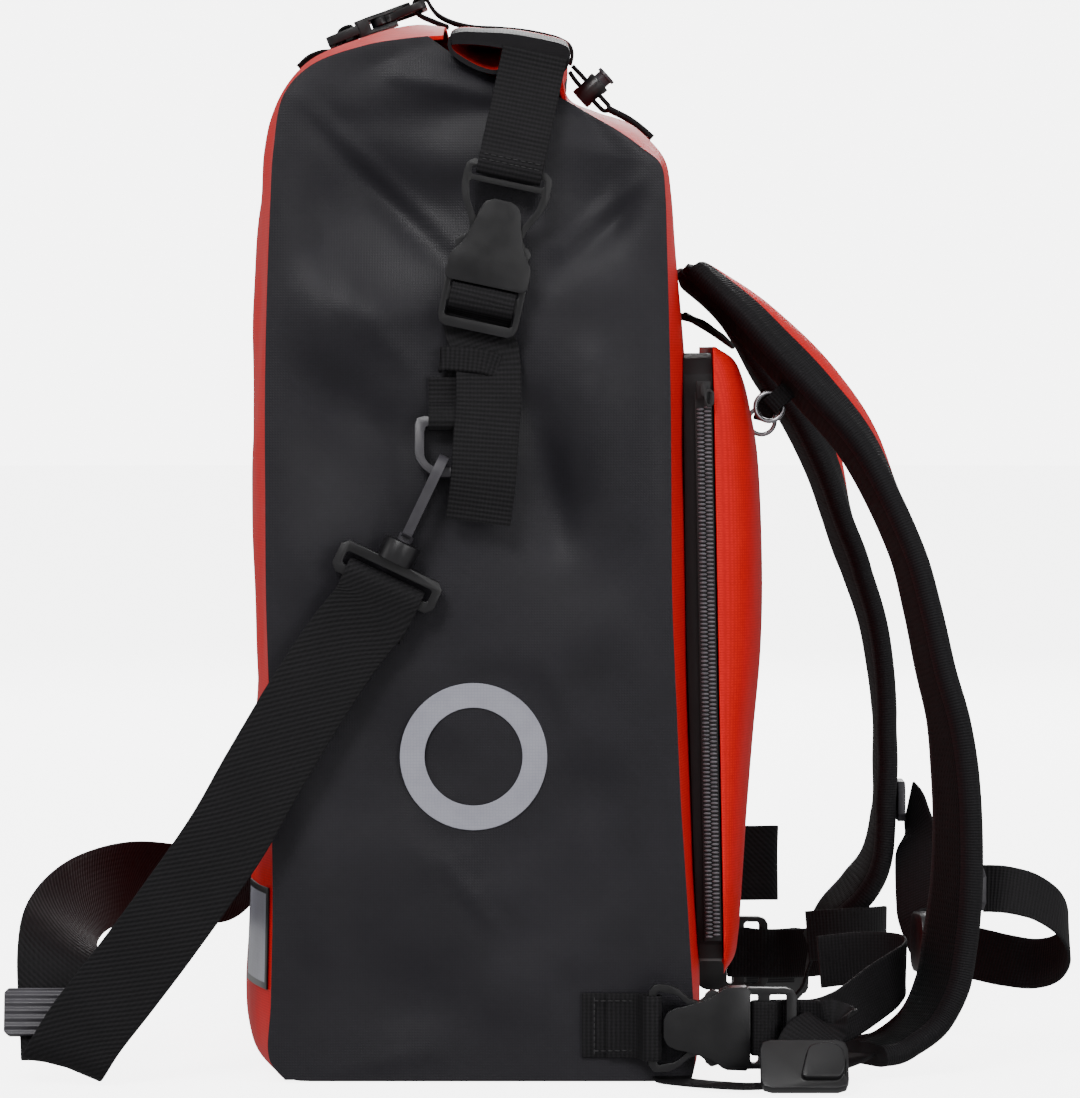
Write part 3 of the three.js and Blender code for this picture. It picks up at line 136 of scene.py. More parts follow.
# Coated polyester: a plain-woven cloth under a thin satin coat, so the weave shows as a fine tooth,
# drawn a little coarser than its 0.6 mm threads, with soft clouding where the coat is rubbed
def coatedCloth(name, colour, worn, roughness, tooth, weave=1.25, gloss=0.3):
    material, tree, bsdf = newMaterial(name, {"IOR": 1.5, "Specular IOR Level": gloss})
    place = clothPlace(tree)
    where = objectPlace(tree)
    threads = maths(tree, "MULTIPLY", waves(tree, place, weave, "X"), waves(tree, place, weave, "Y"))
    cloud = noise(tree, where, 60, 5.0, 0.6)
    grain = noise(tree, where, 1.6, 2.0)
    base = blendColours(tree, ranged(tree, cloud, 0.3, 0.75, 0.0, 1.0), linear(colour), linear(worn))
    shade = ranged(tree, maths(tree, "ADD", threads, grain), 0.2, 1.3, 0.80, 1.12)
    mixed = addNode(tree, "ShaderNodeMix", {0: 1.0, 6: base, 7: shade}, data_type="RGBA", blend_type="MULTIPLY")
    tree.links.new(mixed.outputs[2], bsdf.inputs["Base Color"])
    tree.links.new(ranged(tree, cloud, 0.3, 0.8, roughness, roughness + 0.14), bsdf.inputs["Roughness"])
    rumple = noise(tree, where, 34, 3.0, 0.55)
    bumped(tree, bsdf, [(rumple, 1.6, 0.35), (threads, tooth, 0.55), (grain, 0.06, 0.4)])
    return material


# Nylon webbing: cords along its length and picks across it, dull with a faint sheen
def wovenWebbing(name, colour, light, pick, cord, diagonal=False):
    material, tree, bsdf = newMaterial(name, {"Roughness": 0.74, "IOR": 1.53, "Specular IOR Level": 0.2})
    place = clothPlace(tree)
    across = waves(tree, place, pick, "DIAGONAL" if diagonal else "X")
    along = waves(tree, place, cord, "Y")
    fuzz = noise(tree, objectPlace(tree), 0.9, 2.0)
    worn = noise(tree, objectPlace(tree), 22, 3.0)
    weave = maths(tree, "ADD", maths(tree, "MULTIPLY", across, 0.72), maths(tree, "MULTIPLY", along, 0.28))
    tone = maths(tree, "MULTIPLY", weave, ranged(tree, worn, 0.3, 0.75, 0.65, 1.1))
    tree.links.new(blendColours(tree, tone, linear(colour), linear(light)), bsdf.inputs["Base Color"])
    bumped(tree, bsdf, [(weave, 0.34, 0.8), (fuzz, 0.1, 0.5)])
    return material


# Spacer mesh: a knitted face of small round holes over foam
def spacerMesh(name, colour, light, pitch):
    material, tree, bsdf = newMaterial(name, {"Roughness": 0.85, "IOR": 1.5, "Specular IOR Level": 0.15})
    place = clothPlace(tree)
    holes = addNode(tree, "ShaderNodeTexVoronoi", {"Vector": place, "Scale": 1.0 / (pitch * mm), "Randomness": 0.15})
    knit = ranged(tree, holes.outputs["Distance"], 0.12, 0.42, 0.0, 1.0)
    fuzz = noise(tree, objectPlace(tree), 1.1, 2.0)
    tree.links.new(blendColours(tree, knit, linear(colour), linear(light)), bsdf.inputs["Base Color"])
    bumped(tree, bsdf, [(knit, 0.5, 0.8), (fuzz, 0.12, 0.5)])
    return material


# Acetal: injection moulded with a spark-eroded face, satin, paler along its edges: a painted highlight, partly rubbed
# wear
def moulded(name, colour, worn, roughness, groove=0):
    material, tree, bsdf = newMaterial(name, {"IOR": 1.48, "Specular IOR Level": 0.5})
    where = objectPlace(tree)
    grain = noise(tree, where, 0.7, 2.0)
    handled = noise(tree, where, 9, 3.0)
    edge = addNode(tree, "ShaderNodeNewGeometry").outputs["Pointiness"]
    # the paler colour on sharp edges is a painted highlight, partly rubbed wear
    edgeHighlightAndWear = maths(tree, "MULTIPLY", ranged(tree, edge, 0.5, 0.62, 0.0, 1.0), handled)
    tree.links.new(blendColours(tree, edgeHighlightAndWear, linear(colour), linear(worn)), bsdf.inputs["Base Color"])
    tree.links.new(ranged(tree, handled, 0.3, 0.7, roughness, roughness + 0.12), bsdf.inputs["Roughness"])
    heights = [(grain, 0.05, 0.5)]
    if groove:
        heights.append((waves(tree, where, groove, "Z"), 0.9, 1.0))
    bumped(tree, bsdf, heights)
    return material


# Retroreflective film: pale grey beads under a clear face, in faint cells, with a few light scuffs;
# a border is given as the low and high ends of the film along Y and Z, in millimetres
def reflectiveFilm(name, colour, dark, border=None):
    material, tree, bsdf = newMaterial(name, {"Roughness": 0.38, "IOR": 1.5, "Metallic": 0.15, "Coat Weight": 0.15,
                                              "Coat Roughness": 0.25})
    where = objectPlace(tree)
    cells = addNode(tree, "ShaderNodeTexVoronoi", {"Vector": where, "Scale": 1.0 / (1.4 * mm), "Randomness": 0.2},
                    feature="DISTANCE_TO_EDGE").outputs["Distance"]
    scuffs = noise(tree, where, 12, 6.0, 0.7)
    tone = maths(tree, "MULTIPLY", ranged(tree, cells, 0.0, 0.12, 0.72, 1.0),
                 ranged(tree, scuffs, 0.35, 0.6, 0.82, 1.0))
    film = blendColours(tree, tone, linear(dark), linear(colour))
    if border:
        place = addNode(tree, "ShaderNodeSeparateXYZ", {"Vector": where})
        far = []
        for axis, low, high in (("Y", *border[:2]), ("Z", *border[2:])):
            offset = maths(tree, "SUBTRACT", place.outputs[axis], (low + high) / 2 * mm)
            far.append(maths(tree, "DIVIDE", maths(tree, "ABSOLUTE", offset, 0.0), (high - low) / 2 * mm))
        rim = ranged(tree, maths(tree, "MAXIMUM", *far), 0.86, 0.88, 0.0, 1.0)
        film = blendColours(tree, rim, film, linear(0x0C0B0D))
    tree.links.new(film, bsdf.inputs["Base Color"])
    bumped(tree, bsdf, [(cells, 0.04, 0.4)])
    return material


# Bent steel wire, nickel plated
def platedWire(name, colour):
    material, tree, bsdf = newMaterial(name, {"Base Color": linear(colour), "Metallic": 1.0})
    marks = noise(tree, objectPlace(tree), 2.5, 4.0)
    tree.links.new(ranged(tree, marks, 0.3, 0.7, 0.22, 0.4), bsdf.inputs["Roughness"])
    bumped(tree, bsdf, [(marks, 0.03, 0.5)])
    return material


# Bonded polyester thread: a twisted strand with a slight gloss
def sewingThread(name, colour):
    material, tree, bsdf = newMaterial(name, {"Roughness": 0.5, "IOR": 1.5})
    twist = noise(tree, objectPlace(tree), 0.5, 1.0)
    tree.links.new(blendColours(tree, twist, linear(colour), linear(colour + 0x1a1a1a)), bsdf.inputs["Base Color"])
    bumped(tree, bsdf, [(twist, 0.1, 0.6)])
    return material


finishes = {
    "sideCloth": coatedCloth("coated_polyester_black", 0x131117, 0x1B191F, 0.48, 0.13),
    "rollCloth": coatedCloth("coated_polyester_roll", 0x0F0D10, 0x171518, 0.52, 0.16, gloss=0.15),
    "redCloth": coatedCloth("coated_polyester_red", 0xC80A0C, 0xD41214, 0.46, 0.06, gloss=0.1),
    "redLining": coatedCloth("coated_lining_red", 0xA8140C, 0xB81C12, 0.42, 0.06),
    "gussetCloth": coatedCloth("gusset_cloth_black", 0x0D0C0E, 0x141315, 0.5, 0.12),
    "wideWebbing": wovenWebbing("nylon_twill_webbing", 0x050506, 0x171518, 1.5, 2.2, True),
    "ribbedWebbing": wovenWebbing("nylon_ribbed_webbing", 0x040405, 0x1B191C, 2.1, 1.7),
    "narrowWebbing": wovenWebbing("nylon_narrow_webbing", 0x050405, 0x171518, 1.7, 1.5),
    "binding": wovenWebbing("nylon_binding_tape", 0x050406, 0x151316, 1.3, 1.1),
    "mesh": spacerMesh("spacer_mesh_black", 0x020303, 0x0B0E0F, 2.6),
    "black": moulded("acetal_moulded_black", 0x070608, 0x201E22, 0.3),
    "grey": moulded("acetal_moulded_grey", 0x4A484D, 0x77757A, 0.36),
    "darkGrey": moulded("acetal_moulded_dark_grey", 0x2C2A2F, 0x545257, 0.36),
    "film": reflectiveFilm("retroreflective_film", 0x9C9CA7, 0x6A6A74),
    "bordered": reflectiveFilm("retroreflective_film_bordered", 0x9C9CA7, 0x6A6A74, (-146, -96, 42, 89)),
    "steel": platedWire("nickel_plated_wire", 0x9A989C),
    "thread": sewingThread("polyester_thread_black", 0x0D0C0E),
    # the zip coil is dark grey nylon, painted lighter here as a highlight along its teeth
    "coil": moulded("nylon_zip_coil", 0x48464B, 0x7A787E, 0.26),
    "zipTape": moulded("zip_tape_black", 0x070608, 0x131214, 0.55),
    "slider": moulded("acetal_moulded_grooved", 0x353338, 0x6A686E, 0.36, groove=3.5),
}
print("materials made", len(finishes))


def makePiece(name, points, faces, materials, uv=None, faceMaterial=None, sharp=40):
    mesh = bpy.data.meshes.new(name)
    mesh.from_pydata([tuple(p) for p in points], [], [tuple(f) for f in faces])
    if uv is not None:
        layer = mesh.uv_layers.new(name="UVMap")
        loops = np.empty(len(mesh.loops), int)
        mesh.loops.foreach_get("vertex_index", loops)
        layer.data.foreach_set("uv", np.asarray(uv, float)[loops].ravel())
    for material in materials:
        mesh.materials.append(finishes[material])
    if faceMaterial is not None:
        mesh.polygons.foreach_set("material_index", np.asarray(faceMaterial, np.int32))
    mesh.polygons.foreach_set("use_smooth", np.ones(len(mesh.polygons), bool))
    mesh.set_sharp_from_angle(angle=math.radians(sharp))
    mesh.update()
    piece = bpy.data.objects.new(name, mesh)
    bpy.context.scene.collection.objects.link(piece)
    return piece


def settle(piece, slot, *nodes, body="bag"):
    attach(piece, body)
    if nodes:
        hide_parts(*nodes)
    return piece


# The mesh that a piece's modifiers make of it, shaded smooth
def flatten(piece):
    depsgraph = bpy.context.evaluated_depsgraph_get()
    mesh = bpy.data.meshes.new_from_object(piece.evaluated_get(depsgraph), preserve_all_data_layers=True,
                                           depsgraph=depsgraph)
    mesh.polygons.foreach_set("use_smooth", np.ones(len(mesh.polygons), bool))
    return mesh


# A point on a smooth curve through a table's rows, the same curve as in the solids
def smoothAt(rows, t):
    last = len(rows) - 1
    i = min(int(t * last), last - 1)
    w = t * last - i
    p1, p2 = rows[i], rows[i + 1]
    p0 = rows[i - 1] if i else 2 * p1 - p2
    p3 = rows[i + 2] if i + 2 <= last else 2 * p2 - p1
    d0, d1, d2 = (max(np.linalg.norm(b - a), 0) ** 0.5 for a, b in ((p0, p1), (p1, p2), (p2, p3)))
    d1 = 1.0 if d1 < 1e-4 else d1
    d0 = d1 if d0 < 1e-4 else d0
    d2 = d1 if d2 < 1e-4 else d2
    m1 = ((p1 - p0) / d0 - (p2 - p0) / (d0 + d1) + (p2 - p1) / d1) * d1
    m2 = ((p2 - p1) / d1 - (p3 - p1) / (d1 + d2) + (p3 - p2) / d2) * d1
    return p1 + m1 * w + (3 * (p2 - p1) - 2 * m1 - m2) * w ** 2 + (2 * (p1 - p2) + m1 + m2) * w ** 3


def smoothRows(rows, count):
    rows = np.asarray(rows, float)
    return np.array([smoothAt(rows, t) for t in np.linspace(0, 1, count)])


# The stations of a strap: evenly spaced centres, the direction across it and the one out of its face
def stations(rows, spacing):
    table = np.asarray(rows, float)
    fine = 14 * len(table)
    centre = smoothRows(table[:, :3], fine)
    across = smoothRows(table[:, 3:], fine)
    share = np.linspace(0, 1, fine)
    length = np.concatenate([[0], np.cumsum(np.linalg.norm(np.diff(centre, axis=0), axis=1))])
    count = max(6, int(length[-1] / spacing) + 1)
    at = np.linspace(0, length[-1], count)
    centre = np.stack([np.interp(at, length, centre[:, k]) for k in range(3)], 1)
    across = np.stack([np.interp(at, length, across[:, k]) for k in range(3)], 1)
    tangent = np.gradient(centre, axis=0)
    tangent /= np.linalg.norm(tangent, axis=1)[:, None]
    across -= (across * tangent).sum(1)[:, None] * tangent
    across /= np.linalg.norm(across, axis=1)[:, None]
    return centre, across, np.cross(tangent, across), at, np.interp(at, length, share)


# A flat strap with rounded edges; columns run round it from one edge over the face and back underneath
def flatRing(width, thick, columns=12):
    r = thick / 2
    face = np.linspace(-width / 2 + r, width / 2 - r, columns)
    bend = [math.radians(a) for a in (60, 20, -20, -60)]
    right = [(width / 2 - r + r * math.cos(a), r * math.sin(a)) for a in bend]
    left = [(-width / 2 + r - r * math.cos(a), -r * math.sin(a)) for a in bend]
    return [(x, r) for x in face] + right + [(x, -r) for x in face[::-1]] + left


# A padded strap: crowned foam between two bound edges
def paddedRing(width, thick, columns=22):
    us = np.linspace(-1, 1, columns)
    crown = [(1 - abs(u) ** 6) ** 0.55 for u in us]
    face = [(u * width / 2, thick / 2 * (0.26 + 0.74 * c)) for u, c in zip(us, crown)]
    under = [(u * width / 2, -thick / 2 * (0.26 + 0.74 * c)) for u, c in zip(us[::-1], crown[::-1])]
    return face + under


def strapMesh(rows, ring, spacing, taper=None, fill=None):
    centre, across, face, at, share = stations(rows, spacing)
    points = []
    uv = []
    for c, a, f, s, t in zip(centre, across, face, at, share):
        w = taper(t) if taper else 1.0
        h = fill(t) if fill else 1.0
        for x, y in ring:
            points.append((c + a * x * w + f * (y * h)) * mm)
            uv.append((s * mm, x * mm))
    n = len(ring)
    faces = [(i * n + j, i * n + (j + 1) % n, (i + 1) * n + (j + 1) % n, (i + 1) * n + j)
             for i in range(len(at) - 1) for j in range(n)]
    last = (len(at) - 1) * n
    faces += [tuple(reversed(range(n))), tuple(range(last, last + n))]
    return points, faces, uv


def merged(parts):
    points, faces, uv = [], [], []
    for p, f, u in parts:
        faces += [tuple(i + len(points) for i in face) for face in f]
        points += list(p)
        uv += list(u)
    return points, faces, uv


def facingOut(piece):
    mesh = bmesh.new()
    mesh.from_mesh(piece.data)
    bmesh.ops.recalc_face_normals(mesh, faces=mesh.faces)
    mesh.to_mesh(piece.data)
    mesh.free()
    return piece


def mirrored(rows):
    return [(x, -y, z, a, -b, c) for x, y, z, a, b, c in rows]


def webbingPiece(name, tables, finish, nodes, spacing, thick=1.5):
    parts = [strapMesh(t["rows"], flatRing(t["width"], t.get("thick", thick)), spacing) for t in tables]
    points, faces, uv = merged(parts)
    piece = facingOut(makePiece(name, points, faces, [finish], uv, sharp=50))
    return settle(piece, "webbing_black", *nodes)


# Straps and webbing. Each row of a table is the middle of the strap and then the direction across it;
# where rows that follow each other have one direction across, facing() takes it once, before their middles
def facing(*groups):
    return [(*middle, *across) for across, middles in groups for middle in middles]


closureRows = {"width": 30, "rows": facing(
    ((0.98, 0, -0.21), [(23.1, -152.3, 472.6), (21.6, -152.5, 465.8), (19.5, -154.5, 456), (17.5, -157.5, 446.2),
        (15.4, -160.7, 436.5), (13.7, -162.3, 428.6), (12.4, -164.4, 422.3), (11.6, -164.6, 418.6),
        (10.9, -163.5, 415.5), (10.8, -160.5, 414.8), (10.9, -157.5, 415.5), (11.6, -156.4, 418.6),
        (12.6, -157.9, 423.2), (13.6, -160.2, 428.1), (14.4, -159.6, 432)]))}
adjusterRows = {"width": 30, "rows": facing(
    ((1, 0, -0.06), [(-2.3, -154.1, 318), (-2.3, -154.1, 331), (-1.6, -154.2, 340)]),
    ((0.98, 0, -0.21), [(-3.5, -153.9, 347.8), (-1.9, -155.9, 355.3), (-0.6, -156.6, 361.3), (0, -157.4, 363.9),
        (0.1, -160.5, 364.8), (0, -163.6, 363.9), (-0.6, -164.5, 361.1), (-1.3, -164.5, 358.2),
        (-1.9, -163.7, 355.1), (-2.3, -160.5, 353.3), (-2.8, -157.3, 351.2), (-3.6, -155.9, 347)]),
    ((1, 0, -0.06), [(1, -157.5, 334.5), (1.8, -161, 313.5), (0.6, -164, 295.6), (-0.6, -166, 277.3),
        (-3, -163.5, 258)]))}
keeperRows = {"width": 11, "rows": facing(
    ((0.12, 0, 0.99), [(-19.5, -154.4, 331), (-19.5, -158.4, 332.5), (-14, -159.6, 332.5), (0, -160.4, 331),
        (6, -158.6, 329)]))}
ringLoopRows = {"width": 22, "rows": facing(
    ((1, 0, 0), [(-14.6, -153.9, 324), (-14.6, -153.9, 312), (-14.6, -154.3, 304.9), (-14.6, -155.3, 301),
        (-14.6, -158, 300.1), (-14.6, -160.7, 301), (-14.6, -161.7, 304.5), (-14.6, -159.2, 309.9),
        (-14.6, -155.8, 313.5), (-14.6, -155.2, 324)]))}
lowerTabRows = {"width": 30, "rows": facing(
    ((0, 0, 1), [(44.6, -152.9, 26.5), (56, -152.9, 26.5), (68, -152.9, 26.5), (74, -155.8, 26.5),
        (77.6, -158.5, 26.5), (80, -161, 26.5), (80.4, -163.6, 26.5), (79.7, -166.6, 26.5), (76.9, -167.6, 26.5),
        (73.4, -166.3, 26.5), (72.2, -161.8, 26.5), (70.2, -156.8, 26.5), (65.5, -154.8, 26.5), (56, -154.8, 26.5)]))}
lowerRows = {"width": 25, "rows": facing(
    ((0, 0, 1), [(158, -60, 45.5), (175, -57, 47), (190, -61, 47.5), (197, -71, 47), (197, -84, 45)]),
    ((-0.1, 0.1, 0.99), [(191.6, -98, 42)]), ((-0.2, 0.2, 0.96), [(182, -112, 37)]),
    ((-0.1, 0.2, 0.97), [(170, -130, 31)]), ((0, 0.1, 1), [(160, -146, 28)]),
    ((0, 0, 1), [(150, -156.6, 26.5), (139.6, -156.9, 26.5), (132, -158.9, 26.5), (125.8, -159.6, 26.5),
        (123.2, -160.4, 26.5), (122.3, -163.5, 26.5), (123.2, -166.6, 26.5), (126, -167.5, 26.5),
        (129, -167.5, 26.5), (132.2, -166.7, 26.5), (134, -163.5, 26.5), (136.2, -160.3, 26.5),
        (140.4, -158.9, 26.5), (150, -160.6, 26.5)]), ((0.36, -0.3, 0.88), [(157.5, -162.5, 27)]),
    ((0.8, -0.1, 0.6), [(160.5, -166.5, 28)]),
    ((1, 0, 0), [(157.5, -169, 28.4), (150.5, -173.8, 25.2), (145, -178.6, 18.3), (145, -187, 8.6)]))}
messengerRows = {"width": 38, "rows": facing(
    ((0.9, 0, -0.43), [(-55.6, -159.2, 209.8), (-51.3, -158, 218.8), (-47.8, -156.7, 226), (-45.9, -156.5, 230),
        (-44.8, -157.6, 232.4), (-44.4, -160.8, 233.2), (-44.8, -164, 232.4), (-45.9, -165.1, 230),
        (-47.8, -164.9, 226), (-51.3, -164, 218.8)]), ((0.84, 0, -0.54), [(-63.7, -163, 203)]),
    ((0.82, 0, -0.57), [(-81.9, -165, 175.5), (-101.5, -167, 142.7), (-117.9, -168, 114), (-148.1, -168, 71),
        (-166.5, -167, 46.6)]), ((0.86, 0, -0.5), [(-182.6, -166, 25.8)]),
    ((0.93, 0, -0.36), [(-191, -163.5, 12.5)]), ((0.95, 0, -0.3), [(-193.5, -159.5, 8.8)]),
    ((0.98, 0, -0.2), [(-194, -155.4, 10.5)]),
    ((1, 0, 0), [(-194.6, -152.2, 19), (-195.1, -150.8, 25.5), (-195.5, -149.5, 32), (-195.9, -148.2, 38.5)]),
    ((1, 0, -0.02), [(-196.3, -146.9, 45)]), ((0.98, 0.05, -0.2), [(-197, -141, 57)]),
    ((0.9, 0.15, -0.4), [(-197.5, -126, 67)]), ((0.76, 0.25, -0.6), [(-195.5, -105, 73)]),
    ((0.55, 0.35, -0.75), [(-190, -78, 78)]), ((0.36, 0.46, -0.81), [(-181, -40, 80)]),
    ((0.15, 0.56, -0.81), [(-170, 0, 79)]), ((0, 0.55, -0.83), [(-157, 35, 75)]),
    ((0, 0.5, -0.86), [(-143.5, 70, 70)]), ((0.1, 0.35, -0.93), [(-131, 105, 68)]),
    ((0.41, 0.2, -0.89), [(-124, 136, 78)]), ((0.71, 0.05, -0.71), [(-117, 157, 98)]),
    ((0.82, 0, -0.57), [(-100, 165.5, 140), (-82, 165, 173)]), ((0.84, 0, -0.54), [(-64, 163.5, 203)]),
    ((0.9, 0, -0.43), [(-51.3, 164, 218.8), (-47.8, 164.9, 226), (-45.9, 165.1, 230), (-44.8, 164, 232.4),
        (-44.4, 160.8, 233.2), (-44.8, 157.6, 232.4), (-45.9, 156.5, 230), (-47.8, 156.7, 226), (-51.3, 158, 218.8),
        (-55.6, 159.2, 209.8)]))}
topRows = {"width": 25, "rows": facing(
    ((0, 1, 0), [(-88.5, 0, 469.6), (-83.5, 0, 475.2), (-78.5, 0, 477.6), (-73.6, 0, 479.4), (-68.8, 0, 483.4),
        (-64.5, 0, 485.4), (-63.3, 0, 486.8), (-64.1, 0, 489.6), (-65.4, 0, 492.2), (-67.4, 0, 492.2),
        (-69.4, 0, 491.4), (-71.4, 0, 489.8), (-71.8, 0, 486.5), (-71.7, 0, 483.5), (-74.7, 0, 480.9),
        (-80, 0, 480.2), (-86, 0, 477.9), (-91.5, 0, 473)]))}
topBeltRows = {"width": 25, "rows": facing(
    ((0, 1, 0), [(-19, 0, 492.3), (-27, 0, 495.4), (-33, 0, 498.2), (-35.6, 0, 501), (-34.8, 0, 504.9),
        (-31.9, 0, 506.2), (-29.4, 0, 505.7), (-28, 0, 503.2), (-24.5, 0, 498.6), (-18, 0, 494.9), (-8, 0, 492.3),
        (6, 0, 491.4), (18, 0, 490.2), (28, 0, 488.3), (35, 0, 486.2), (39.6, 0, 483.2), (40.9, 0, 479),
        (40, 0, 474.5)]))}
topTabRows = {"width": 16, "thick": 2.8, "rows": [
    (57.6, 0, 453.4, 0, 1, 0), (62, 0, 451.2, 0, 1, 0), (67.5, 0, 448.4, 0, 1, 0), (73, 0, 444.6, 0, 1, 0),
    (79.5, 0, 439, 0, 1, 0)]}
padNear = [
    (93.8, -65, 375.7, 0, -1, 0), (99.4, -65.3, 371, 0.02, -1, 0.03), (108.3, -69, 362.4, 0.04, -1, 0.04),
    (120, -74, 350.6, 0.05, -1, 0.05), (131.2, -78, 337.8, 0.06, -1, 0.06), (151.3, -82, 315.8, 0.08, -0.99, 0.07),
    (174.1, -86, 288.6, 0.09, -0.99, 0.06), (196.8, -92, 242.7, 0.1, -0.99, 0.04),
    (204.2, -95, 215.7, 0.12, -0.99, 0.03), (210.6, -98, 185.8, 0.14, -0.99, 0.03),
    (216.2, -100, 163.5, 0.17, -0.98, 0.03), (219.2, -101, 140, 0.21, -0.98, 0.02),
    (220.6, -102, 112, 0.22, -0.97, 0), (219.8, -103, 84, 0.24, -0.97, -0.02),
    (217.1, -104, 60.6, 0.26, -0.97, -0.04), (213.2, -106, 39.8, 0.23, -0.97, -0.08),
    (204.5, -110, 23.5, 0.16, -0.98, -0.14), (190, -118, 13.4, 0.06, -0.99, -0.14),
    (176, -128, 10.4, 0.02, -0.99, -0.1)]
yokeNear = {"width": 9, "rows": facing(
    ((0.67, 0, -0.74), [(144.3, -82.2, 319.8), (135.7, -82.2, 312), (133.5, -80, 310), (135.7, -77.8, 312),
        (144.3, -77.8, 319.8)]))}
padFar = [
    (93.8, 62, 375.7, 0, -1, 0), (99.4, 62.2, 371, 0, -1, 0), (112.5, 64, 359.7, 0, -1, 0),
    (125.1, 68, 343.9, 0, -1, 0), (137.1, 72, 324, 0.03, -1, 0.02), (149.7, 75, 306.6, 0.06, -1, 0.04),
    (164.9, 79, 276.7, 0.06, -1, 0.03), (174.1, 82, 251.6, 0.07, -1, 0.02), (183.2, 84, 226.6, 0.07, -1, 0.02),
    (191.4, 86, 201.5, 0.05, -1, 0.01), (195.6, 88, 177.8, 0.03, -1, 0), (197.7, 89, 156.2, 0, -1, 0),
    (198.3, 90, 130.5, 0, -1, 0), (197.4, 90, 103, 0, -1, 0), (193.6, 90, 81, 0.07, -1, -0.02),
    (185, 90, 67, 0.14, -0.98, -0.11), (172, 92, 53, 0.17, -0.98, -0.12), (163.5, 94, 38, 0.12, -0.99, -0.07)]
yokeFar = {"width": 9, "rows": facing(
    ((0.96, 0, -0.27), [(139.5, 69.8, 315.6), (136.4, 69.8, 304.4), (135.6, 72, 301.5), (136.4, 74.2, 304.4),
        (139.5, 74.2, 315.6)]))}
handleRows = {"width": 20, "thick": 2, "rows": [
    (94.3, -45, 352.4, 0, -1, 0), (98.6, -44.5, 351.4, 0.1, -0.99, -0.05), (105, -34, 347.6, 0.54, -0.79, -0.3),
    (110, -17, 344.2, 0.79, -0.25, -0.56), (111.4, 0, 343.2, 0.8, 0, -0.6), (110, 17, 344.2, 0.79, 0.25, -0.56),
    (105, 34, 347.6, 0.54, 0.79, -0.3), (98.6, 44.5, 351.4, 0.1, 0.99, -0.05), (94.3, 45, 352.4, 0, 1, 0)]}
sternumNear = {"width": 25, "rows": facing(
    ((0, 0.56, 0.83), [(232.6, -101.6, 84.6), (237, -102, 84.6), (244, -103, 84.1), (257, -102, 80.6),
        (269.2, -96, 71.6), (274, -86, 59.7), (270.5, -74, 49.5)]), ((0, 0.5, 0.86), [(260.9, -62, 45)]),
    ((0, 0.41, 0.91), [(247.6, -52, 45.5)]), ((0, 0.3, 0.95), [(234, -40, 47.5)]),
    ((0, 0.15, 0.99), [(223, -26, 48.3)]), ((0, 0, 1), [(214.4, -12.7, 48.5)]))}
sternumFar = {"width": 25, "rows": [
    (210.6, 89, 110, 0, 0.1, 1), (213, 78, 103, 0.22, 0.11, 0.97), (212.5, 62, 86, 0.57, 0.23, 0.79),
    (211.5, 44, 66, 0.54, 0.22, 0.81), (210.5, 31, 53, 0.31, 0.1, 0.94), (209.7, 19.4, 49.4, 0, 0, 1)]}
harnessNear = {"width": 18, "rows": [
    (86, -153.2, 2.4, 1, 0, 0), (87, -160, 1.9, 0.99, 0.15, 0), (96, -169, 1.8, 0.75, 0.66, 0),
    (107, -176, 1.8, 0.5, 0.87, 0), (120, -180.5, 1.8, 0.2, 0.98, 0), (134, -181, 2.8, -0.1, 1, 0),
    (148, -174, 5, -0.5, 0.87, 0), (158, -161, 8.2, -0.76, 0.65, 0), (166, -148, 9.6, -0.84, 0.54, 0),
    (169.5, -139, 10.1, -0.84, 0.54, 0), (172.2, -132.2, 10.4, -0.71, 0.71, 0)]}
harnessFar = {"width": 18, "rows": [
    (97.8, 140, 2.3, 0, -1, 0), (108, 138, 1.9, -0.1, -1, 0), (124, 130, 1.8, -0.45, -0.89, 0),
    (140, 117, 3, -0.55, -0.83, 0), (152, 105, 9, -0.41, -0.91, 0), (158, 98.5, 18, -0.1, -1, 0),
    (160.3, 96.5, 28, 0, -1, 0), (163, 94.4, 37.2, 0, -1, 0)]}
waistRows = {"width": 38, "rows": facing(
    ((0, 0, 1), [(97.4, 128, 76), (112, 126.5, 76), (132, 125.5, 76), (143, 128, 76), (145.6, 132.5, 75.5),
        (141, 137, 75), (125, 138.4, 75), (108, 137, 75), (96.9, 134.6, 75)]))}


def flipped(table):
    return {**table, "rows": mirrored(table["rows"])}


sidePieces = [
    # node, its tables, finish
    ("closure_webbing", [closureRows], "ribbedWebbing"),
    ("adjuster_webbing", [adjusterRows, keeperRows, ringLoopRows], "ribbedWebbing"),
    ("lower_tab", [lowerTabRows], "ribbedWebbing"),
    ("lower_webbing", [lowerRows], "narrowWebbing"),
]
for side, turned in (("near", lambda table: table), ("far", flipped)):
    for node, tables, finish in sidePieces:
        webbingPiece(f"{node}_dressed_{side}", [turned(table) for table in tables], finish, [f"{node}_{side}"], 1.2)
singlePieces = [
    # node, side, table, finish, spacing of its stations
    ("messenger_strap", "", messengerRows, "wideWebbing", 2.0),
    ("top_webbing", "", topRows, "narrowWebbing", 1.2),
    ("top_belt", "", topBeltRows, "narrowWebbing", 1.2),
    ("carry_handle", "", handleRows, "binding", 1.5),
    ("sternum_webbing", "_near", sternumNear, "narrowWebbing", 1.5),
    ("sternum_webbing", "_far", sternumFar, "narrowWebbing", 1.5),
    ("harness_webbing", "_near", harnessNear, "narrowWebbing", 1.5),
    ("harness_webbing", "_far", harnessFar, "narrowWebbing", 1.5),
    ("waist_webbing", "", waistRows, "wideWebbing", 1.5),
]
for node, side, table, finish, spacing in singlePieces:
    webbingPiece(f"{node}_dressed{side}", [table], finish, [node + side], spacing)
print("webbing laid")

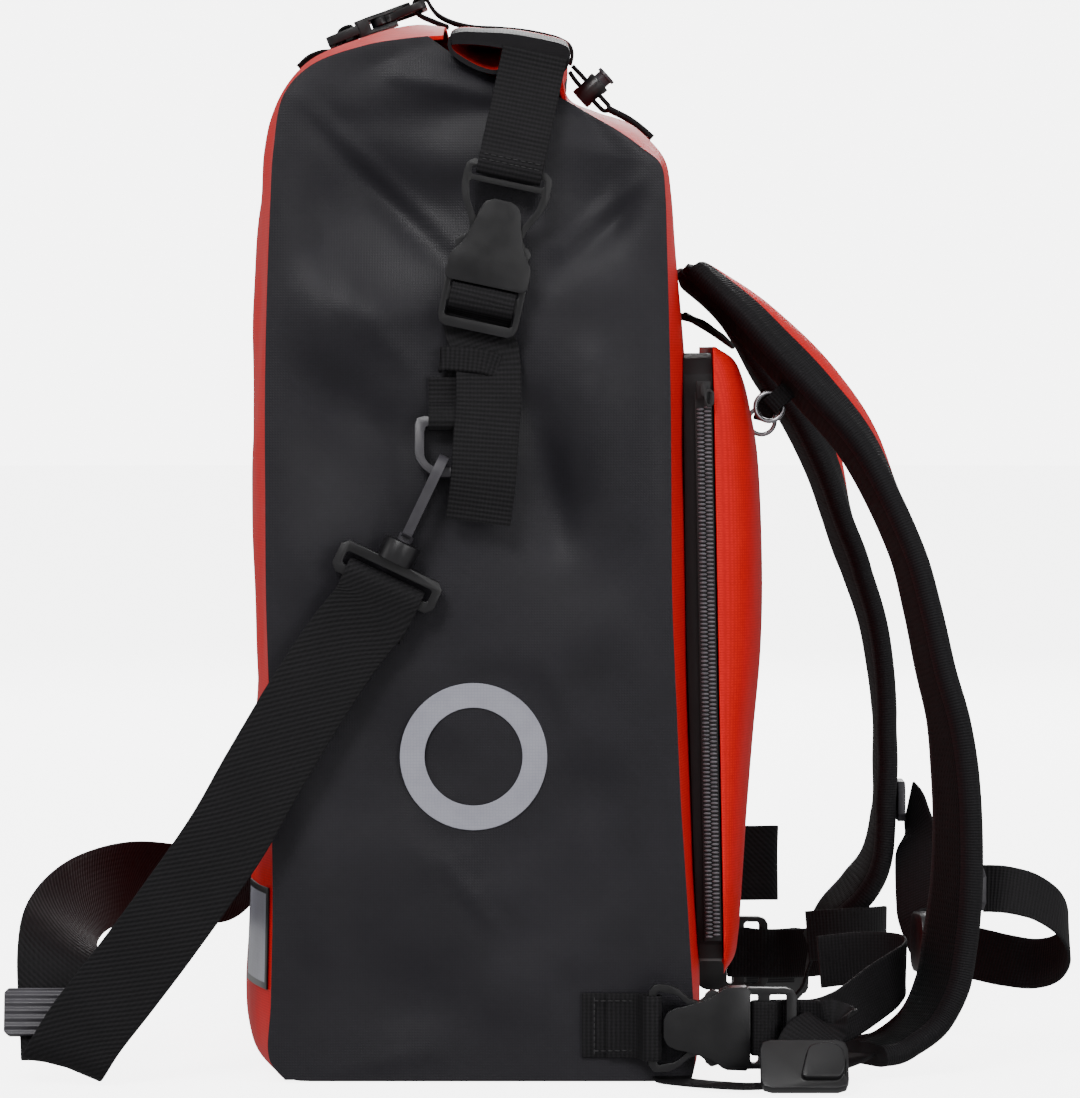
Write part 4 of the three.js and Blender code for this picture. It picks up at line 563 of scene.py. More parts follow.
# Shoulder straps: foam between a mesh face and cloth, bound along both edges, red over the shoulder
pad = {"width": 60, "thick": 11, "redTo": 150, "crown": 13.0, "crownInset": 5, "bindWidth": 9}


def smoothstep(t, low, high):
    u = min(1, max(0, (t - low) / (high - low)))
    return u * u * (3 - 2 * u)


def padTaper(t):
    return 1 - 0.45 * smoothstep(t, 0.82, 1)


def padFill(t):
    return 0.3 + 0.7 * smoothstep(t, 0, 0.07)


def shoulderStrap(side, rows, yoke):
    ring = paddedRing(pad["width"], pad["thick"])
    points, faces, uv = strapMesh(rows, ring, 2.4, padTaper, padFill)
    n = len(ring)
    finish = []
    for f in faces:
        along, across = uv[f[0]][0] / mm, uv[f[0]][1] / mm
        inward = f[0] % n < n // 2 and len(f) == 4
        edge = abs(across) > pad["width"] / 2 - pad["bindWidth"]
        finish.append(1 if edge else 2 if not inward and along < pad["redTo"] else 0)
    points = np.array(points)
    for k in range(len(points)):  # the red cloth is crowned out past the bound edges
        along, across = uv[k][0] / mm, uv[k][1] / mm
        if k % n >= n // 2 and 0 < along < pad["redTo"]:
            first = k - k % n
            out = points[first + 3 * n // 4] - points[first + n // 4]
            flat = max(0, 1 - (across / (pad["width"] / 2 - pad["crownInset"])) ** 2)
            rise = pad["crown"] * math.sin(math.pi * along / pad["redTo"]) * flat
            points[k] += out / np.linalg.norm(out) * rise * mm
    piece = facingOut(makePiece(f"shoulder_pad_{side}", points, faces, ["mesh", "binding", "redCloth"], uv, finish, 60))
    settle(piece, "mesh_black", f"shoulder_strap_{side}")
    webbingPiece(f"yoke_loop_{side}", [yoke], "narrowWebbing", [], 1.0)


shoulderStrap("near", padNear, yokeNear)
shoulderStrap("far", padFar, yokeFar)
print("shoulder straps padded")

# The bag's walls, from the same seams as the solids: front, up, front middle, up, back, up, back middle, up, inset
seams = np.array([
    (-92, 1, -103, 1, 95, 1, 97, 1, 0), (-98.9, 10, -111.5, 10, 96.6, 9, 100, 9, 0),
    (-98.4, 37, -115.7, 36, 95.7, 37, 101, 37, 0), (-97.5, 83, -113.7, 82, 93, 83, 99.5, 83, 0),
    (-98, 129, -111.3, 129, 90, 129, 98, 129, 0), (-98.9, 175, -109.8, 177, 87.9, 175, 97, 175, 0),
    (-100.3, 221, -110.3, 222, 86, 221, 96, 221, 0), (-100.6, 267, -111, 266, 85.6, 267, 95.6, 267, 0),
    (-100.7, 313, -111.3, 311, 85.2, 313, 95, 313, 0), (-99.8, 359, -109.3, 360, 84.4, 350, 92.5, 350, 0),
    (-98, 405, -107.5, 405, 83.4, 385, 89.5, 387, 0), (-96.6, 428, -104.5, 430, 82.7, 407, 87.2, 410, 0.5),
    (-92, 453, -96, 456, 80.5, 421.5, 84, 426, 2), (-79, 467, -84, 473, 72, 429, 77, 436, 4.5),
    (-54.7, 476, -58.8, 484.5, 61, 437, 66, 444.5, 7), (-38, 479, -43, 489.5, 49, 444, 51, 449, 9),
    (-26, 480.3, -30, 491, 38, 450.5, 38.5, 455.5, 10)], float)
walls = {"sideY": 150.0, "outsideY": 151.8, "gap": 0.3, "thick": 1.8}
fine = smoothRows(seams, 150)
fine[:, 8] = np.interp(np.linspace(0, 1, 150), np.linspace(0, 1, len(seams)), seams[:, 8])


# Faces of a shell: a grid of points, the same grid for its inside after it, and a strip round their rim
def shellFaces(count, n):
    outer = [(i * n + j, i * n + j + 1, (i + 1) * n + j + 1, (i + 1) * n + j)
             for i in range(count - 1) for j in range(n - 1)]
    inner = [tuple(k + count * n for k in reversed(face)) for face in outer]
    rim = [i * n for i in range(count)] + [(count - 1) * n + j for j in range(1, n)] + \
        [i * n + n - 1 for i in range(count - 2, -1, -1)] + [j for j in range(n - 2, 0, -1)]
    return outer + inner + [(a, b, b + count * n, a + count * n) for a, b in zip(rim, rim[1:] + rim[:1])]


def creaseDepth(x, z, creases):
    total = np.zeros_like(x)
    for ax, az, bx, bz, width, depth in creases:
        ux, uz = bx - ax, bz - az
        t = np.clip(((x - ax) * ux + (z - az) * uz) / (ux * ux + uz * uz), 0, 1)
        d2 = (x - ax - t * ux) ** 2 + (z - az - t * uz) ** 2
        total += depth * np.exp(-d2 / width ** 2) * (0.55 + 0.45 * np.sin(np.pi * np.clip(t, 0.04, 0.96)))
    return total


# Swells and hollows as in the solids, then the folds: from, to, half width and depth, along and up the side
swells = [
    (-70, 352, 34, 30, 6), (62, 300, 26, 70, 5), (-45, 405, 44, 26, -12), (48, 405, 22, 22, -7),
    (-72, 292, 22, 26, -3.5), (30, 262, 22, 26, -4), (-20, 440, 30, 14, -5)]
folds = [
    (-88, 455, -14, 384, 5.0, 2.2), (-80, 446, -10, 372, 8.0, -2.6), (80, 421, 36, 384, 5.0, 2.2),
    (78, 414, 30, 372, 8.0, -2.4), (-92, 330, -40, 300, 12.0, -1.6), (-60, 356, -28, 340, 9.0, 2.0),
    (79, 360, 80, 240, 5.0, 1.6), (68, 350, 62, 230, 9.0, -1.0), (50, 330, 44, 280, 9.0, 1.6),
    (22, 308, 34, 252, 9.0, -2.4), (-48, 300, -44, 240, 8.0, -1.8), (-16, 97, 4, 74, 3.0, 0.8),
    (-6, 90, 12, 86, 3.0, 0.5), (-76, 3, -24, 13, 5.0, 0.9), (-88, 120, -72, 60, 14.0, 1.0),
    (60, 150, 84, 90, 12.0, 1.0), (-70, 440, 30, 452, 9.0, -1.4), (-40, 462, 40, 444, 5.0, 1.2),
    (-95, 250, -70, 200, 12.0, 0.8),
]

# Low waves all over the cloth
ripple = {"waves": 26, "shortest": 35, "longest": 140, "height": 0.42}


def rumple(x, z, seed):
    rng = np.random.default_rng(seed)
    total = np.zeros_like(x)
    for _ in range(ripple["waves"]):
        angle = rng.uniform(0, np.pi)
        length = rng.uniform(ripple["shortest"], ripple["longest"])
        phase = rng.uniform(0, 2 * np.pi)
        wave = np.sin(2 * np.pi * (x * np.cos(angle) + z * np.sin(angle)) / length + phase)
        total += length / ripple["longest"] * ripple["height"] * wave
    return total


def sidePanel(side, columns=96):
    us = np.linspace(0, 1, columns + 1)
    rows = len(fine)
    position = np.linspace(0, len(seams) - 1, rows)
    low = np.sin(np.pi * np.minimum(1, us * 1.15))[None, :]  # the top edge sags towards the roll
    sag = 5 * np.maximum(0, position - len(seams) + 3)[:, None] / 2 * low
    x = fine[:, 0][:, None] + (fine[:, 4] - fine[:, 0])[:, None] * us[None, :]
    z = fine[:, 1][:, None] + (fine[:, 5] - fine[:, 1])[:, None] * us[None, :] - sag
    edge = np.minimum(1, np.minimum(us, 1 - us) * 7)[None, :]
    edge = edge * edge * (3 - 2 * edge)
    foot = np.clip(z / 30, 0, 1)
    swell = sum(d * np.exp(-((x - sx) / dx) ** 2 - ((z - sz) / dz) ** 2) for sx, sz, dx, dz, d in swells)
    shape = folds
    if side == "far":
        shape = [(a * 0.9, b + 6, c * 0.9, d - 4, w * 1.1, h * 0.8) for a, b, c, d, w, h in folds]
    out = (swell + 1.5 * creaseDepth(x, z, shape) + rumple(x, z, 5 if side == "near" else 11)) * edge * foot
    # the cloth stays behind what is sewn or hooked to it
    y = walls["outsideY"] - fine[:, 8][:, None] + np.minimum(out, 7.5)
    ring = np.maximum(0, np.hypot(x + 5.2, z - 150) - 36)
    tab = np.hypot(np.maximum(0, 40 - x), np.maximum(0, z - 44))
    anchor = np.hypot(np.maximum(0, np.abs(x + 5) - 18), np.maximum(0, np.abs(z - 326) - 12))
    for away, room in ((ring, 0.05), (tab, 0.0), (anchor, 0.2)):
        y = np.minimum(y, walls["outsideY"] + room + 0.02 * away ** 1.7)
    outer = np.stack([x, -y, z], -1).reshape(-1, 3)
    inner = np.stack([x, -(y - walls["thick"]), z], -1).reshape(-1, 3)
    points = np.vstack([outer, inner]) * mm
    if side == "far":
        points[:, 1] *= -1
    uv = np.stack([np.tile(x.ravel(), 2), np.tile(z.ravel(), 2)], 1) * mm
    faces = shellFaces(rows, columns + 1)
    piece = facingOut(makePiece(f"side_cloth_{side}", points, faces, ["sideCloth"], uv, sharp=50))
    return settle(piece, "tarpaulin_black", f"side_panel_{side}")


for side in ("near", "far"):
    sidePanel(side)


def bigPanel(which, lastRow, sharpness, columns=72):
    table = np.vstack([seams, lastRow])
    rows = smoothRows(table, 160)
    rows[:, 8] = np.interp(np.linspace(0, 1, 160), np.linspace(0, 1, len(table)), table[:, 8])
    k = 0 if which == "front" else 4
    us = np.linspace(-1, 1, columns + 1)
    half = walls["sideY"] - 2 * walls["gap"] - rows[:, 8][:, None]
    out = 1 - np.abs(us) ** sharpness
    x = rows[:, k][:, None] + (rows[:, k + 2] - rows[:, k])[:, None] * out[None, :]
    z = rows[:, k + 1][:, None] + (rows[:, k + 3] - rows[:, k + 1])[:, None] * out[None, :]
    y = us[None, :] * half
    sign = -1 if which == "front" else 1
    edge = np.minimum(1, (1 - np.abs(us)) * 8)[None, :] * np.clip(z / 25, 0, 1) * np.clip((470 - z) / 30, 0, 1)
    x = x + sign * rumple(y, z, 3 if which == "front" else 8) * edge * (0.8 if which == "front" else 0.25)
    outer = np.stack([x, y, z], -1)
    du = np.gradient(outer, axis=1)
    dv = np.gradient(outer, axis=0)
    normal = np.cross(du, dv)
    normal /= np.linalg.norm(normal, axis=2)[:, :, None]
    if (normal[80, columns // 2, 0] * sign) < 0:
        normal = -normal
    inner = outer - normal * walls["thick"]
    points = np.vstack([outer.reshape(-1, 3), inner.reshape(-1, 3)]) * mm
    uv = np.stack([np.tile(y.ravel(), 2), np.tile(z.ravel(), 2)], 1) * mm
    faces = shellFaces(len(outer), columns + 1)
    piece = facingOut(makePiece(f"{which}_cloth", points, faces, ["redCloth"], uv, sharp=50))
    return settle(piece, "tarpaulin_red", f"{which}_panel")


bigPanel("front", [-19.2, 480.7, -19.2, 489.6, 38, 450.5, 38.5, 455.5, 10], 3)
bigPanel("back", [-26, 480.3, -30, 491, 35.5, 460.7, 36, 469.2, 10], 4)
print("walls shaped")

# Roll top: folded layers over the mouth, black ends and red middle, red lining in the hollow
roll = {"half": 151.0, "rise": 8.5, "redHalf": 96.0, "sections": 120,
        "outline": [
    (-17, 475.7), (-15.9, 479.9), (-12.5, 481.5), (-0.2, 481.5), (11, 480.9), (22.2, 479.1), (33.4, 476.7),
    (37.9, 474.7), (39, 470.5), (37.9, 465.5), (35.1, 462.7), (22.2, 461.9), (6.5, 462.1), (-2.4, 463.9),
    (-11.4, 468.5), (-15.9, 472.3)],
        "hollow": [
    (-15.3, 475.5), (-10.3, 476.1), (-0.2, 475.5), (11, 473.5), (16.6, 471.5), (11, 467.5), (5.4, 464.5),
    (-1.3, 465.7), (-9.7, 470.1), (-14.2, 473.5)]}


def closedSmooth(corners, count):
    table = np.array(corners + corners[:3], float)
    dense = smoothRows(np.vstack([corners[-1:], table]), 40 * (len(table) + 1))
    loop = dense[40:40 + 40 * len(corners)]
    length = np.concatenate([[0], np.cumsum(np.linalg.norm(np.diff(np.vstack([loop, loop[:1]]), axis=0), axis=1))])
    at = np.linspace(0, length[-1], count, endpoint=False)
    ring = np.vstack([loop, loop[:1]])
    return np.stack([np.interp(at, length, ring[:, k]) for k in range(2)], 1)


def rollTop():
    count = 120
    outer = closedSmooth(roll["outline"], count)
    hollow = closedSmooth(roll["hollow"], count)
    centre = hollow.mean(0)
    hollow = hollow[np.argsort(np.arctan2(*(hollow - centre).T[::-1]))]
    outer = outer[np.argsort(np.arctan2(*(outer - centre).T[::-1]))]
    ys = np.linspace(-roll["half"], roll["half"], roll["sections"] + 1)
    points, uv, faces, finish = [], [], [], []
    around = np.arange(count) / count * 110
    for ring, inside in ((outer, False), (hollow, True)):
        way = ring - centre
        way = way / np.linalg.norm(way, axis=1)[:, None]
        for y in ys:
            u = y / roll["half"]
            lift = roll["rise"] * (1 - u * u)
            if inside:  # the hollow closes away from its two ends
                opening = 0.05 + 0.95 * smoothstep(abs(y), roll["half"] - 55, roll["half"] - 6)
                shown = centre + (ring - centre) * np.array([0.3 + 0.7 * opening, opening])
            else:  # soft waves in the folded layers
                wave = 0.8 * np.sin(around / 110 * 2 * np.pi * 3 + y / 19) * (0.3 + 0.7 * np.sin(y / 31) ** 2)
                shown = ring + way * wave[:, None] * (1 - abs(u) ** 8) * 0.6
            points += [(x, y, z + lift) for x, z in shown]
            uv += [(a, y) for a in around]
    n = count
    total = (roll["sections"] + 1) * n
    for part in (0, 1):
        for i in range(roll["sections"]):
            middle = abs((ys[i] + ys[i + 1]) / 2) < roll["redHalf"]
            for j in range(n):
                a, b = i * n + j, i * n + (j + 1) % n
                quad = (a, b, b + n, a + n)
                faces.append(tuple(k + part * total for k in (quad if part == 0 else quad[::-1])))
                finish.append(2 if part else (1 if middle else 0))
    for i in (0, roll["sections"]):
        for j in range(n):
            a, b = i * n + j, i * n + (j + 1) % n
            faces.append((a, b, b + total, a + total) if i else (b, a, a + total, b + total))
            finish.append(0)
    piece = makePiece("roll_cloth", np.array(points) * mm, faces, ["rollCloth", "redCloth", "redLining"],
                      np.array(uv) * mm, finish, 50)
    return settle(facingOut(piece), "tarpaulin_black", "roll_top")


rollTop()
print("mouth rolled")

# Harness cover: a padded lid with a bound edge
cover = {"half": 122.0, "low": 46.0, "high": 338.0, "padding": 8.0, "seamLow": 111.0, "seamHigh": 105.5,
         "face": [
    (112, 46), (117, 52), (119.1, 62), (121, 84), (123.4, 118), (126.3, 157), (129.6, 196), (130.5, 235),
    (128.5, 288), (125.1, 308), (121.7, 322), (117, 332), (108, 338)]}


def coverLid():
    face = smoothRows(cover["face"], 110)
    count = len(face)
    us = np.sign(np.linspace(-1, 1, 121)) * (1 - (1 - np.abs(np.linspace(-1, 1, 121))) ** 1.6)
    marks = [0, count / 12, count / 6, count / 4, count * 3 / 4, count * 5 / 6, count * 11 / 12, count - 1]
    narrowAt = np.interp(np.arange(count), marks, [0.93, 0.975, 0.99, 1, 1, 0.99, 0.975, 0.93])
    middle = (cover["low"] + cover["high"]) / 2

    def grid(shrink, depth):
        points = []
        for (x, z), narrow in zip(face, narrowAt):
            rise = (z - cover["low"]) / (cover["high"] - cover["low"])
            seam = cover["seamLow"] + rise * (cover["seamHigh"] - cover["seamLow"])
            out = max(0, x - seam - depth) * (1 - np.abs(us) ** 7) ** 0.6
            dimple = 0.35 * np.sin(us * 7 + z / 33) * (1 - np.abs(us) ** 4) if depth == 0 else 0 * us
            points.append(np.stack([seam + out + dimple - (0.01 if depth else 0), us * cover["half"] * narrow * shrink,
                                    np.full_like(us, middle + (z - middle) * shrink)], 1))
        return np.array(points)

    outer, inner = grid(1, 0), grid(0.95, cover["padding"])
    points = np.vstack([outer.reshape(-1, 3), inner.reshape(-1, 3)])
    uv = points[:, 1:] * mm
    piece = facingOut(makePiece("harness_lid", points * mm, shellFaces(count, len(us)), ["redCloth"], uv, sharp=50))
    settle(piece, "tarpaulin_red", "harness_cover")


coverLid()
print("cover padded")

# The reflective rings and the front patch
badge = {"outer": 67.6, "inner": 45.0, "thick": 0.6, "x": -5.2, "z": 150.0, "segments": 160}


def reflectiveRing(side):
    sign = -1 if side == "near" else 1
    base = walls["outsideY"] + walls["gap"]
    low, high, thick = badge["inner"] / 2, badge["outer"] / 2, badge["thick"]
    profile = [(low, 0), (low, thick - 0.15), (low + 0.2, thick), (high - 0.2, thick), (high, thick - 0.15), (high, 0)]
    points, faces = [], []
    n = len(profile)
    for i in range(badge["segments"]):
        a = 2 * math.pi * i / badge["segments"]
        points += [(badge["x"] + r * math.cos(a), sign * (base + h), badge["z"] + r * math.sin(a)) for r, h in profile]
    for i in range(badge["segments"]):
        k = (i + 1) % badge["segments"]
        faces += [(i * n + j, i * n + (j + 1) % n, k * n + (j + 1) % n, k * n + j) for j in range(n)]
    piece = facingOut(makePiece(f"ring_film_{side}", np.array(points) * mm, faces, ["film"], sharp=30))
    return settle(piece, "reflective", f"reflective_ring_{side}")


for side in ("near", "far"):
    reflectiveRing(side)

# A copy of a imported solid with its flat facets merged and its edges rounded; angles in degrees
rounding = {"together": 2e-6, "flatWithin": 1.0, "edgesFrom": 32, "sharpFrom": 38}


def rounded(node, finish, slot, width=0.5, segments=3, body="bag"):
    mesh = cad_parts[node].data.copy()
    mesh.materials.clear()
    mesh.materials.append(finishes[finish])
    work = bmesh.new()
    work.from_mesh(mesh)
    bmesh.ops.remove_doubles(work, verts=work.verts, dist=rounding["together"])
    bmesh.ops.dissolve_limit(work, angle_limit=math.radians(rounding["flatWithin"]), verts=work.verts, edges=work.edges)
    for face in work.faces:
        face.material_index = 0
    work.to_mesh(mesh)
    work.free()
    for name in [layer.name for layer in mesh.uv_layers]:
        mesh.uv_layers.remove(mesh.uv_layers[name])
    mesh.polygons.foreach_set("use_smooth", np.ones(len(mesh.polygons), bool))
    piece = bpy.data.objects.new(f"{node}_finished", mesh)
    bpy.context.scene.collection.objects.link(piece)
    bevel = piece.modifiers.new("edges", "BEVEL")
    bevel.width = width * mm
    bevel.segments = segments
    bevel.limit_method = "ANGLE"
    bevel.angle_limit = math.radians(rounding["edgesFrom"])
    bevel.use_clamp_overlap = True
    bevel.harden_normals = False
    plain = flatten(piece)
    piece.modifiers.clear()
    piece.data = plain
    plain.set_sharp_from_angle(angle=math.radians(rounding["sharpFrom"]))
    return settle(piece, slot, node, body=body)


wire = {"radius": 6.6, "stock": 1.1, "around": 60, "section": 12}


def wireRing(side):
    low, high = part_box(f"yoke_ring_{side}")
    centre = np.array((low + high) / 2) / mm
    points, faces = [], []
    turns, n = wire["around"], wire["section"]
    for i in range(turns):
        a = 2 * math.pi * i / turns
        for j in range(n):
            b = 2 * math.pi * j / n
            r = wire["radius"] + wire["stock"] * math.cos(b)
            points.append(centre + np.array([r * math.cos(a), wire["stock"] * math.sin(b), r * math.sin(a)]))
            k, m = (i + 1) % turns, (j + 1) % n
            faces.append((i * n + j, i * n + m, k * n + m, k * n + j))
    piece = facingOut(makePiece(f"bent_ring_{side}", np.array(points) * mm, faces, ["steel"], sharp=60))
    return settle(piece, "steel", f"yoke_ring_{side}")


pairs = [
    # node, finish, slot, rounded edge
    ("closure_male", "black", "acetal", 0.8), ("closure_female", "black", "acetal", 1.7),
    ("side_ring", "darkGrey", "acetal_grey", 1.1), ("hook_swivel", "black", "acetal", 0.7),
    ("snap_hook", "darkGrey", "acetal_grey", 0.9), ("lower_male", "black", "acetal", 0.8),
    ("lower_female", "black", "acetal", 1.5), ("floor_lock", "black", "acetal", 0.8),
]
for node, finish, slot, width in pairs:
    for side in ("near", "far"):
        rounded(f"{node}_{side}", finish, slot, width)
for side in ("near", "far"):
    rounded(f"hook_gate_{side}", "grey", "acetal_grey", 0.6, body=f"gate_{side}")
    wireRing(side)
    rounded(f"sternum_slider_{side}", "darkGrey", "acetal_grey", 0.7)
singles = [
    # node, finish, slot, rounded edge, segments, body
    ("top_male", "black", "acetal", 0.6, 3, "bag"), ("top_female", "black", "acetal", 0.7, 3, "bag"),
    ("cord_lock", "black", "acetal", 0.5, 3, "bag"), ("lock_button", "darkGrey", "acetal_grey", 0.5, 3, "button"),
    ("strap_slider", "slider", "acetal_grey", 0.7, 3, "bag"), ("sternum_buckle", "black", "acetal", 0.8, 3, "bag"),
    ("cover_zip", "zipTape", "acetal", 0.3, 2, "bag"), ("cover_gusset", "gussetCloth", "tarpaulin_red", 0.4, 2, "bag"),
    ("base_panel", "gussetCloth", "tarpaulin_black", 0.8, 2, "bag"),
    ("front_patch", "bordered", "reflective", 0.25, 2, "bag"),
]
for node, finish, slot, width, segments, body in singles:
    rounded(node, finish, slot, width, segments, body)
print("hard parts rounded")

# The lock's cord and its sewn tab
cordLine = {"radius": 1.1, "sides": 14, "points": [
    (39.5, 0, 471), (42.6, 0, 466.5), (48, 0, 460.5), (53.3, 0, 454.6), (56.1, 0, 452.2), (58.3, 0, 452.4),
    (58.5, 0, 454.4), (56.2, 0, 457.1), (50.8, 0, 463.1), (45.5, 0, 469), (40.9, 0, 473.8)]}


def cordTube():
    path = smoothRows(cordLine["points"], 120)
    tangent = np.gradient(path, axis=0)
    tangent /= np.linalg.norm(tangent, axis=1)[:, None]
    side = np.tile([0.0, 1.0, 0.0], (len(path), 1))
    up = np.cross(tangent, side)
    length = np.concatenate([[0], np.cumsum(np.linalg.norm(np.diff(path, axis=0), axis=1))])
    n = cordLine["sides"]
    ring = [(math.cos(2 * math.pi * i / n), math.sin(2 * math.pi * i / n)) for i in range(n)]
    points, uv, faces = [], [], []
    for p, s, u, a in zip(path, side, up, length):
        points += [(p + cordLine["radius"] * (s * x + u * y)) * mm for x, y in ring]
        uv += [(a * mm, i / n * 7 * mm) for i in range(n)]
    for i in range(len(path) - 1):
        faces += [(i * n + j, i * n + (j + 1) % n, (i + 1) * n + (j + 1) % n, (i + 1) * n + j) for j in range(n)]
    last = (len(path) - 1) * n
    faces += [tuple(reversed(range(n))), tuple(range(last, last + n))]
    return points, faces, uv


tabPart = strapMesh(topTabRows["rows"], flatRing(topTabRows["width"], topTabRows["thick"]), 1.2)
points, faces, uv = merged([cordTube(), tabPart])
settle(facingOut(makePiece("lock_cord_and_tab", points, faces, ["binding"], uv, sharp=50)), "webbing_black", "top_cord")
print("cord laid")

# Stitches and zip teeth: one small part laid again and again along each line
stitch = {"length": 3.2, "radius": 0.42, "pitch": 3.0, "size": 0.8}
zipper = {"low": 64.0, "high": 309.0, "lowX": 105.7, "highX": 101.2, "y": -121.9, "pitch": 1.9, "half": 1.7,
          "tooth": (0.75, 1.75, 0.62)}


def smallPart(name, around, along, halfSizes):
    mesh = bmesh.new()
    bmesh.ops.create_uvsphere(mesh, u_segments=around, v_segments=along, radius=1.0)
    for vert in mesh.verts:
        vert.co = Vector([c * h for c, h in zip(vert.co, halfSizes)]) * mm
    data = bpy.data.meshes.new(name)
    mesh.to_mesh(data)
    mesh.free()
    part = bpy.data.objects.new(name, data)
    bpy.context.scene.collection.objects.link(part)
    part.hide_render = True
    return part


def repeatTree(name, part, material):
    tree = bpy.data.node_groups.new(name, "GeometryNodeTree")
    sockets = {"Geometry": "NodeSocketGeometry", "Spacing": "NodeSocketFloat", "Size": "NodeSocketFloat",
               "Unevenness": "NodeSocketFloat"}
    ids = {key: tree.interface.new_socket(name=key, in_out="INPUT", socket_type=kind).identifier
           for key, kind in sockets.items()}
    tree.interface.new_socket(name="Geometry", in_out="OUTPUT", socket_type="NodeSocketGeometry")
    start = addNode(tree, "NodeGroupInput")
    shape = addNode(tree, "GeometryNodeObjectInfo", {"Object": part})
    line = addNode(tree, "GeometryNodeResampleCurve", {"Curve": start.outputs["Geometry"],
                   "Length": start.outputs["Spacing"]}, mode="LENGTH")
    points = addNode(tree, "GeometryNodeCurveToPoints", {"Curve": line.outputs["Curve"]}, mode="EVALUATED")
    low = maths(tree, "SUBTRACT", 1.0, start.outputs["Unevenness"])
    high = maths(tree, "ADD", 1.0, start.outputs["Unevenness"])
    vary = addNode(tree, "FunctionNodeRandomValue", {"Min": low, "Max": high, "Seed": 7}, data_type="FLOAT")
    scale = maths(tree, "MULTIPLY", vary.outputs[1], start.outputs["Size"])
    placed = addNode(tree, "GeometryNodeInstanceOnPoints", {"Points": points.outputs["Points"],
                     "Instance": shape.outputs["Geometry"], "Rotation": points.outputs["Rotation"], "Scale": scale})
    real = addNode(tree, "GeometryNodeRealizeInstances", {"Geometry": placed.outputs["Instances"]})
    dressed = addNode(tree, "GeometryNodeSetMaterial", {"Geometry": real.outputs["Geometry"],
                      "Material": finishes[material]})
    addNode(tree, "NodeGroupOutput", {"Geometry": dressed.outputs["Geometry"]})
    return tree, ids


def repeatAlong(name, lines, part, material, slot, spacing, size, unevenness):
    curve = bpy.data.curves.new(f"{name}_lines", "CURVE")
    curve.dimensions = "3D"
    for line in lines:
        spline = curve.splines.new("POLY")
        spline.points.add(len(line) - 1)
        for point, place in zip(spline.points, line):
            point.co = (*[v * mm for v in place], 1)
    carrier = bpy.data.objects.new(f"{name}_lines", curve)
    bpy.context.scene.collection.objects.link(carrier)
    tree, ids = repeatTree(f"{name}_rows", part, material)
    rows = carrier.modifiers.new("rows", "NODES")
    rows.node_group = tree
    rows[ids["Spacing"]] = spacing * mm
    rows[ids["Size"]] = size
    rows[ids["Unevenness"]] = unevenness
    mesh = flatten(carrier)
    bpy.data.objects.remove(carrier)
    bpy.data.objects.remove(part)
    piece = bpy.data.objects.new(name, mesh)
    bpy.context.scene.collection.objects.link(piece)
    return settle(piece, slot)


# A row of sewing on a strap's face: from and to along it, and how far aside of its middle, on the side that shows
def sewnRow(table, fromTo, aside, lift=0.95):
    centre, across, face, at, share = stations(table["rows"], 0.8)
    keep = [i for i, s in enumerate(at) if fromTo[0] <= s <= fromTo[1]]
    sign = [1 if v[1] <= 0 else -1 for v in face]
    return [centre[i] + across[i] * aside + face[i] * sign[i] * lift for i in keep]


def sewnAcross(table, along, halfWidth, lift=0.95):
    centre, across, face, at, share = stations(table["rows"], 0.8)
    i = int(np.argmin(np.abs(at - along)))
    sign = 1 if face[i][1] <= 0 else -1
    return [centre[i] + across[i] * a + face[i] * sign * lift for a in np.linspace(-halfWidth, halfWidth, 12)]


def mirrorLine(line):
    return [np.array([p[0], -p[1], p[2]]) for p in line]


nearLines = [
    sewnAcross(closureRows, 52, 12), sewnAcross(closureRows, 55, 12),
    sewnAcross(lowerTabRows, 6, 12, 2.9), sewnAcross(lowerTabRows, 24, 12, 2.9),
    sewnRow(lowerTabRows, (6, 24), 11.5, 2.9), sewnRow(lowerTabRows, (6, 24), -11.5, 2.9),
]
sewnLines = nearLines + [mirrorLine(line) for line in nearLines]
strand = smallPart("strand", 6, 5, (stitch["radius"], stitch["radius"] * 0.8, stitch["length"] / 2))
repeatAlong("webbing_stitches", sewnLines, strand, "thread", "webbing_black", stitch["pitch"], stitch["size"], 0.06)


def zipLine(aside, shift):
    return [np.array([zipper["lowX"] + (zipper["highX"] - zipper["lowX"]) * t + aside, zipper["y"],
                      zipper["low"] + shift + (zipper["high"] - zipper["low"]) * t]) for t in np.linspace(0, 1, 40)]


# The zip's two rows of teeth stand half a pitch apart
teethLines = [zipLine(-zipper["half"], 0), zipLine(zipper["half"], zipper["pitch"] / 2)]
tooth = smallPart("tooth", 8, 6, zipper["tooth"])
repeatAlong("zip_teeth", teethLines, tooth, "coil", "acetal", zipper["pitch"], 1.0, 0.02)
print("zip and stitches made")

# Floor, backdrop and soft studio light
stage = {"radius": 14.0, "sides": 64, "rings": 12, "below": 0.0004, "floorGlow": 5.2, "skyGlow": 6.2, "worldGlow": 0.55}


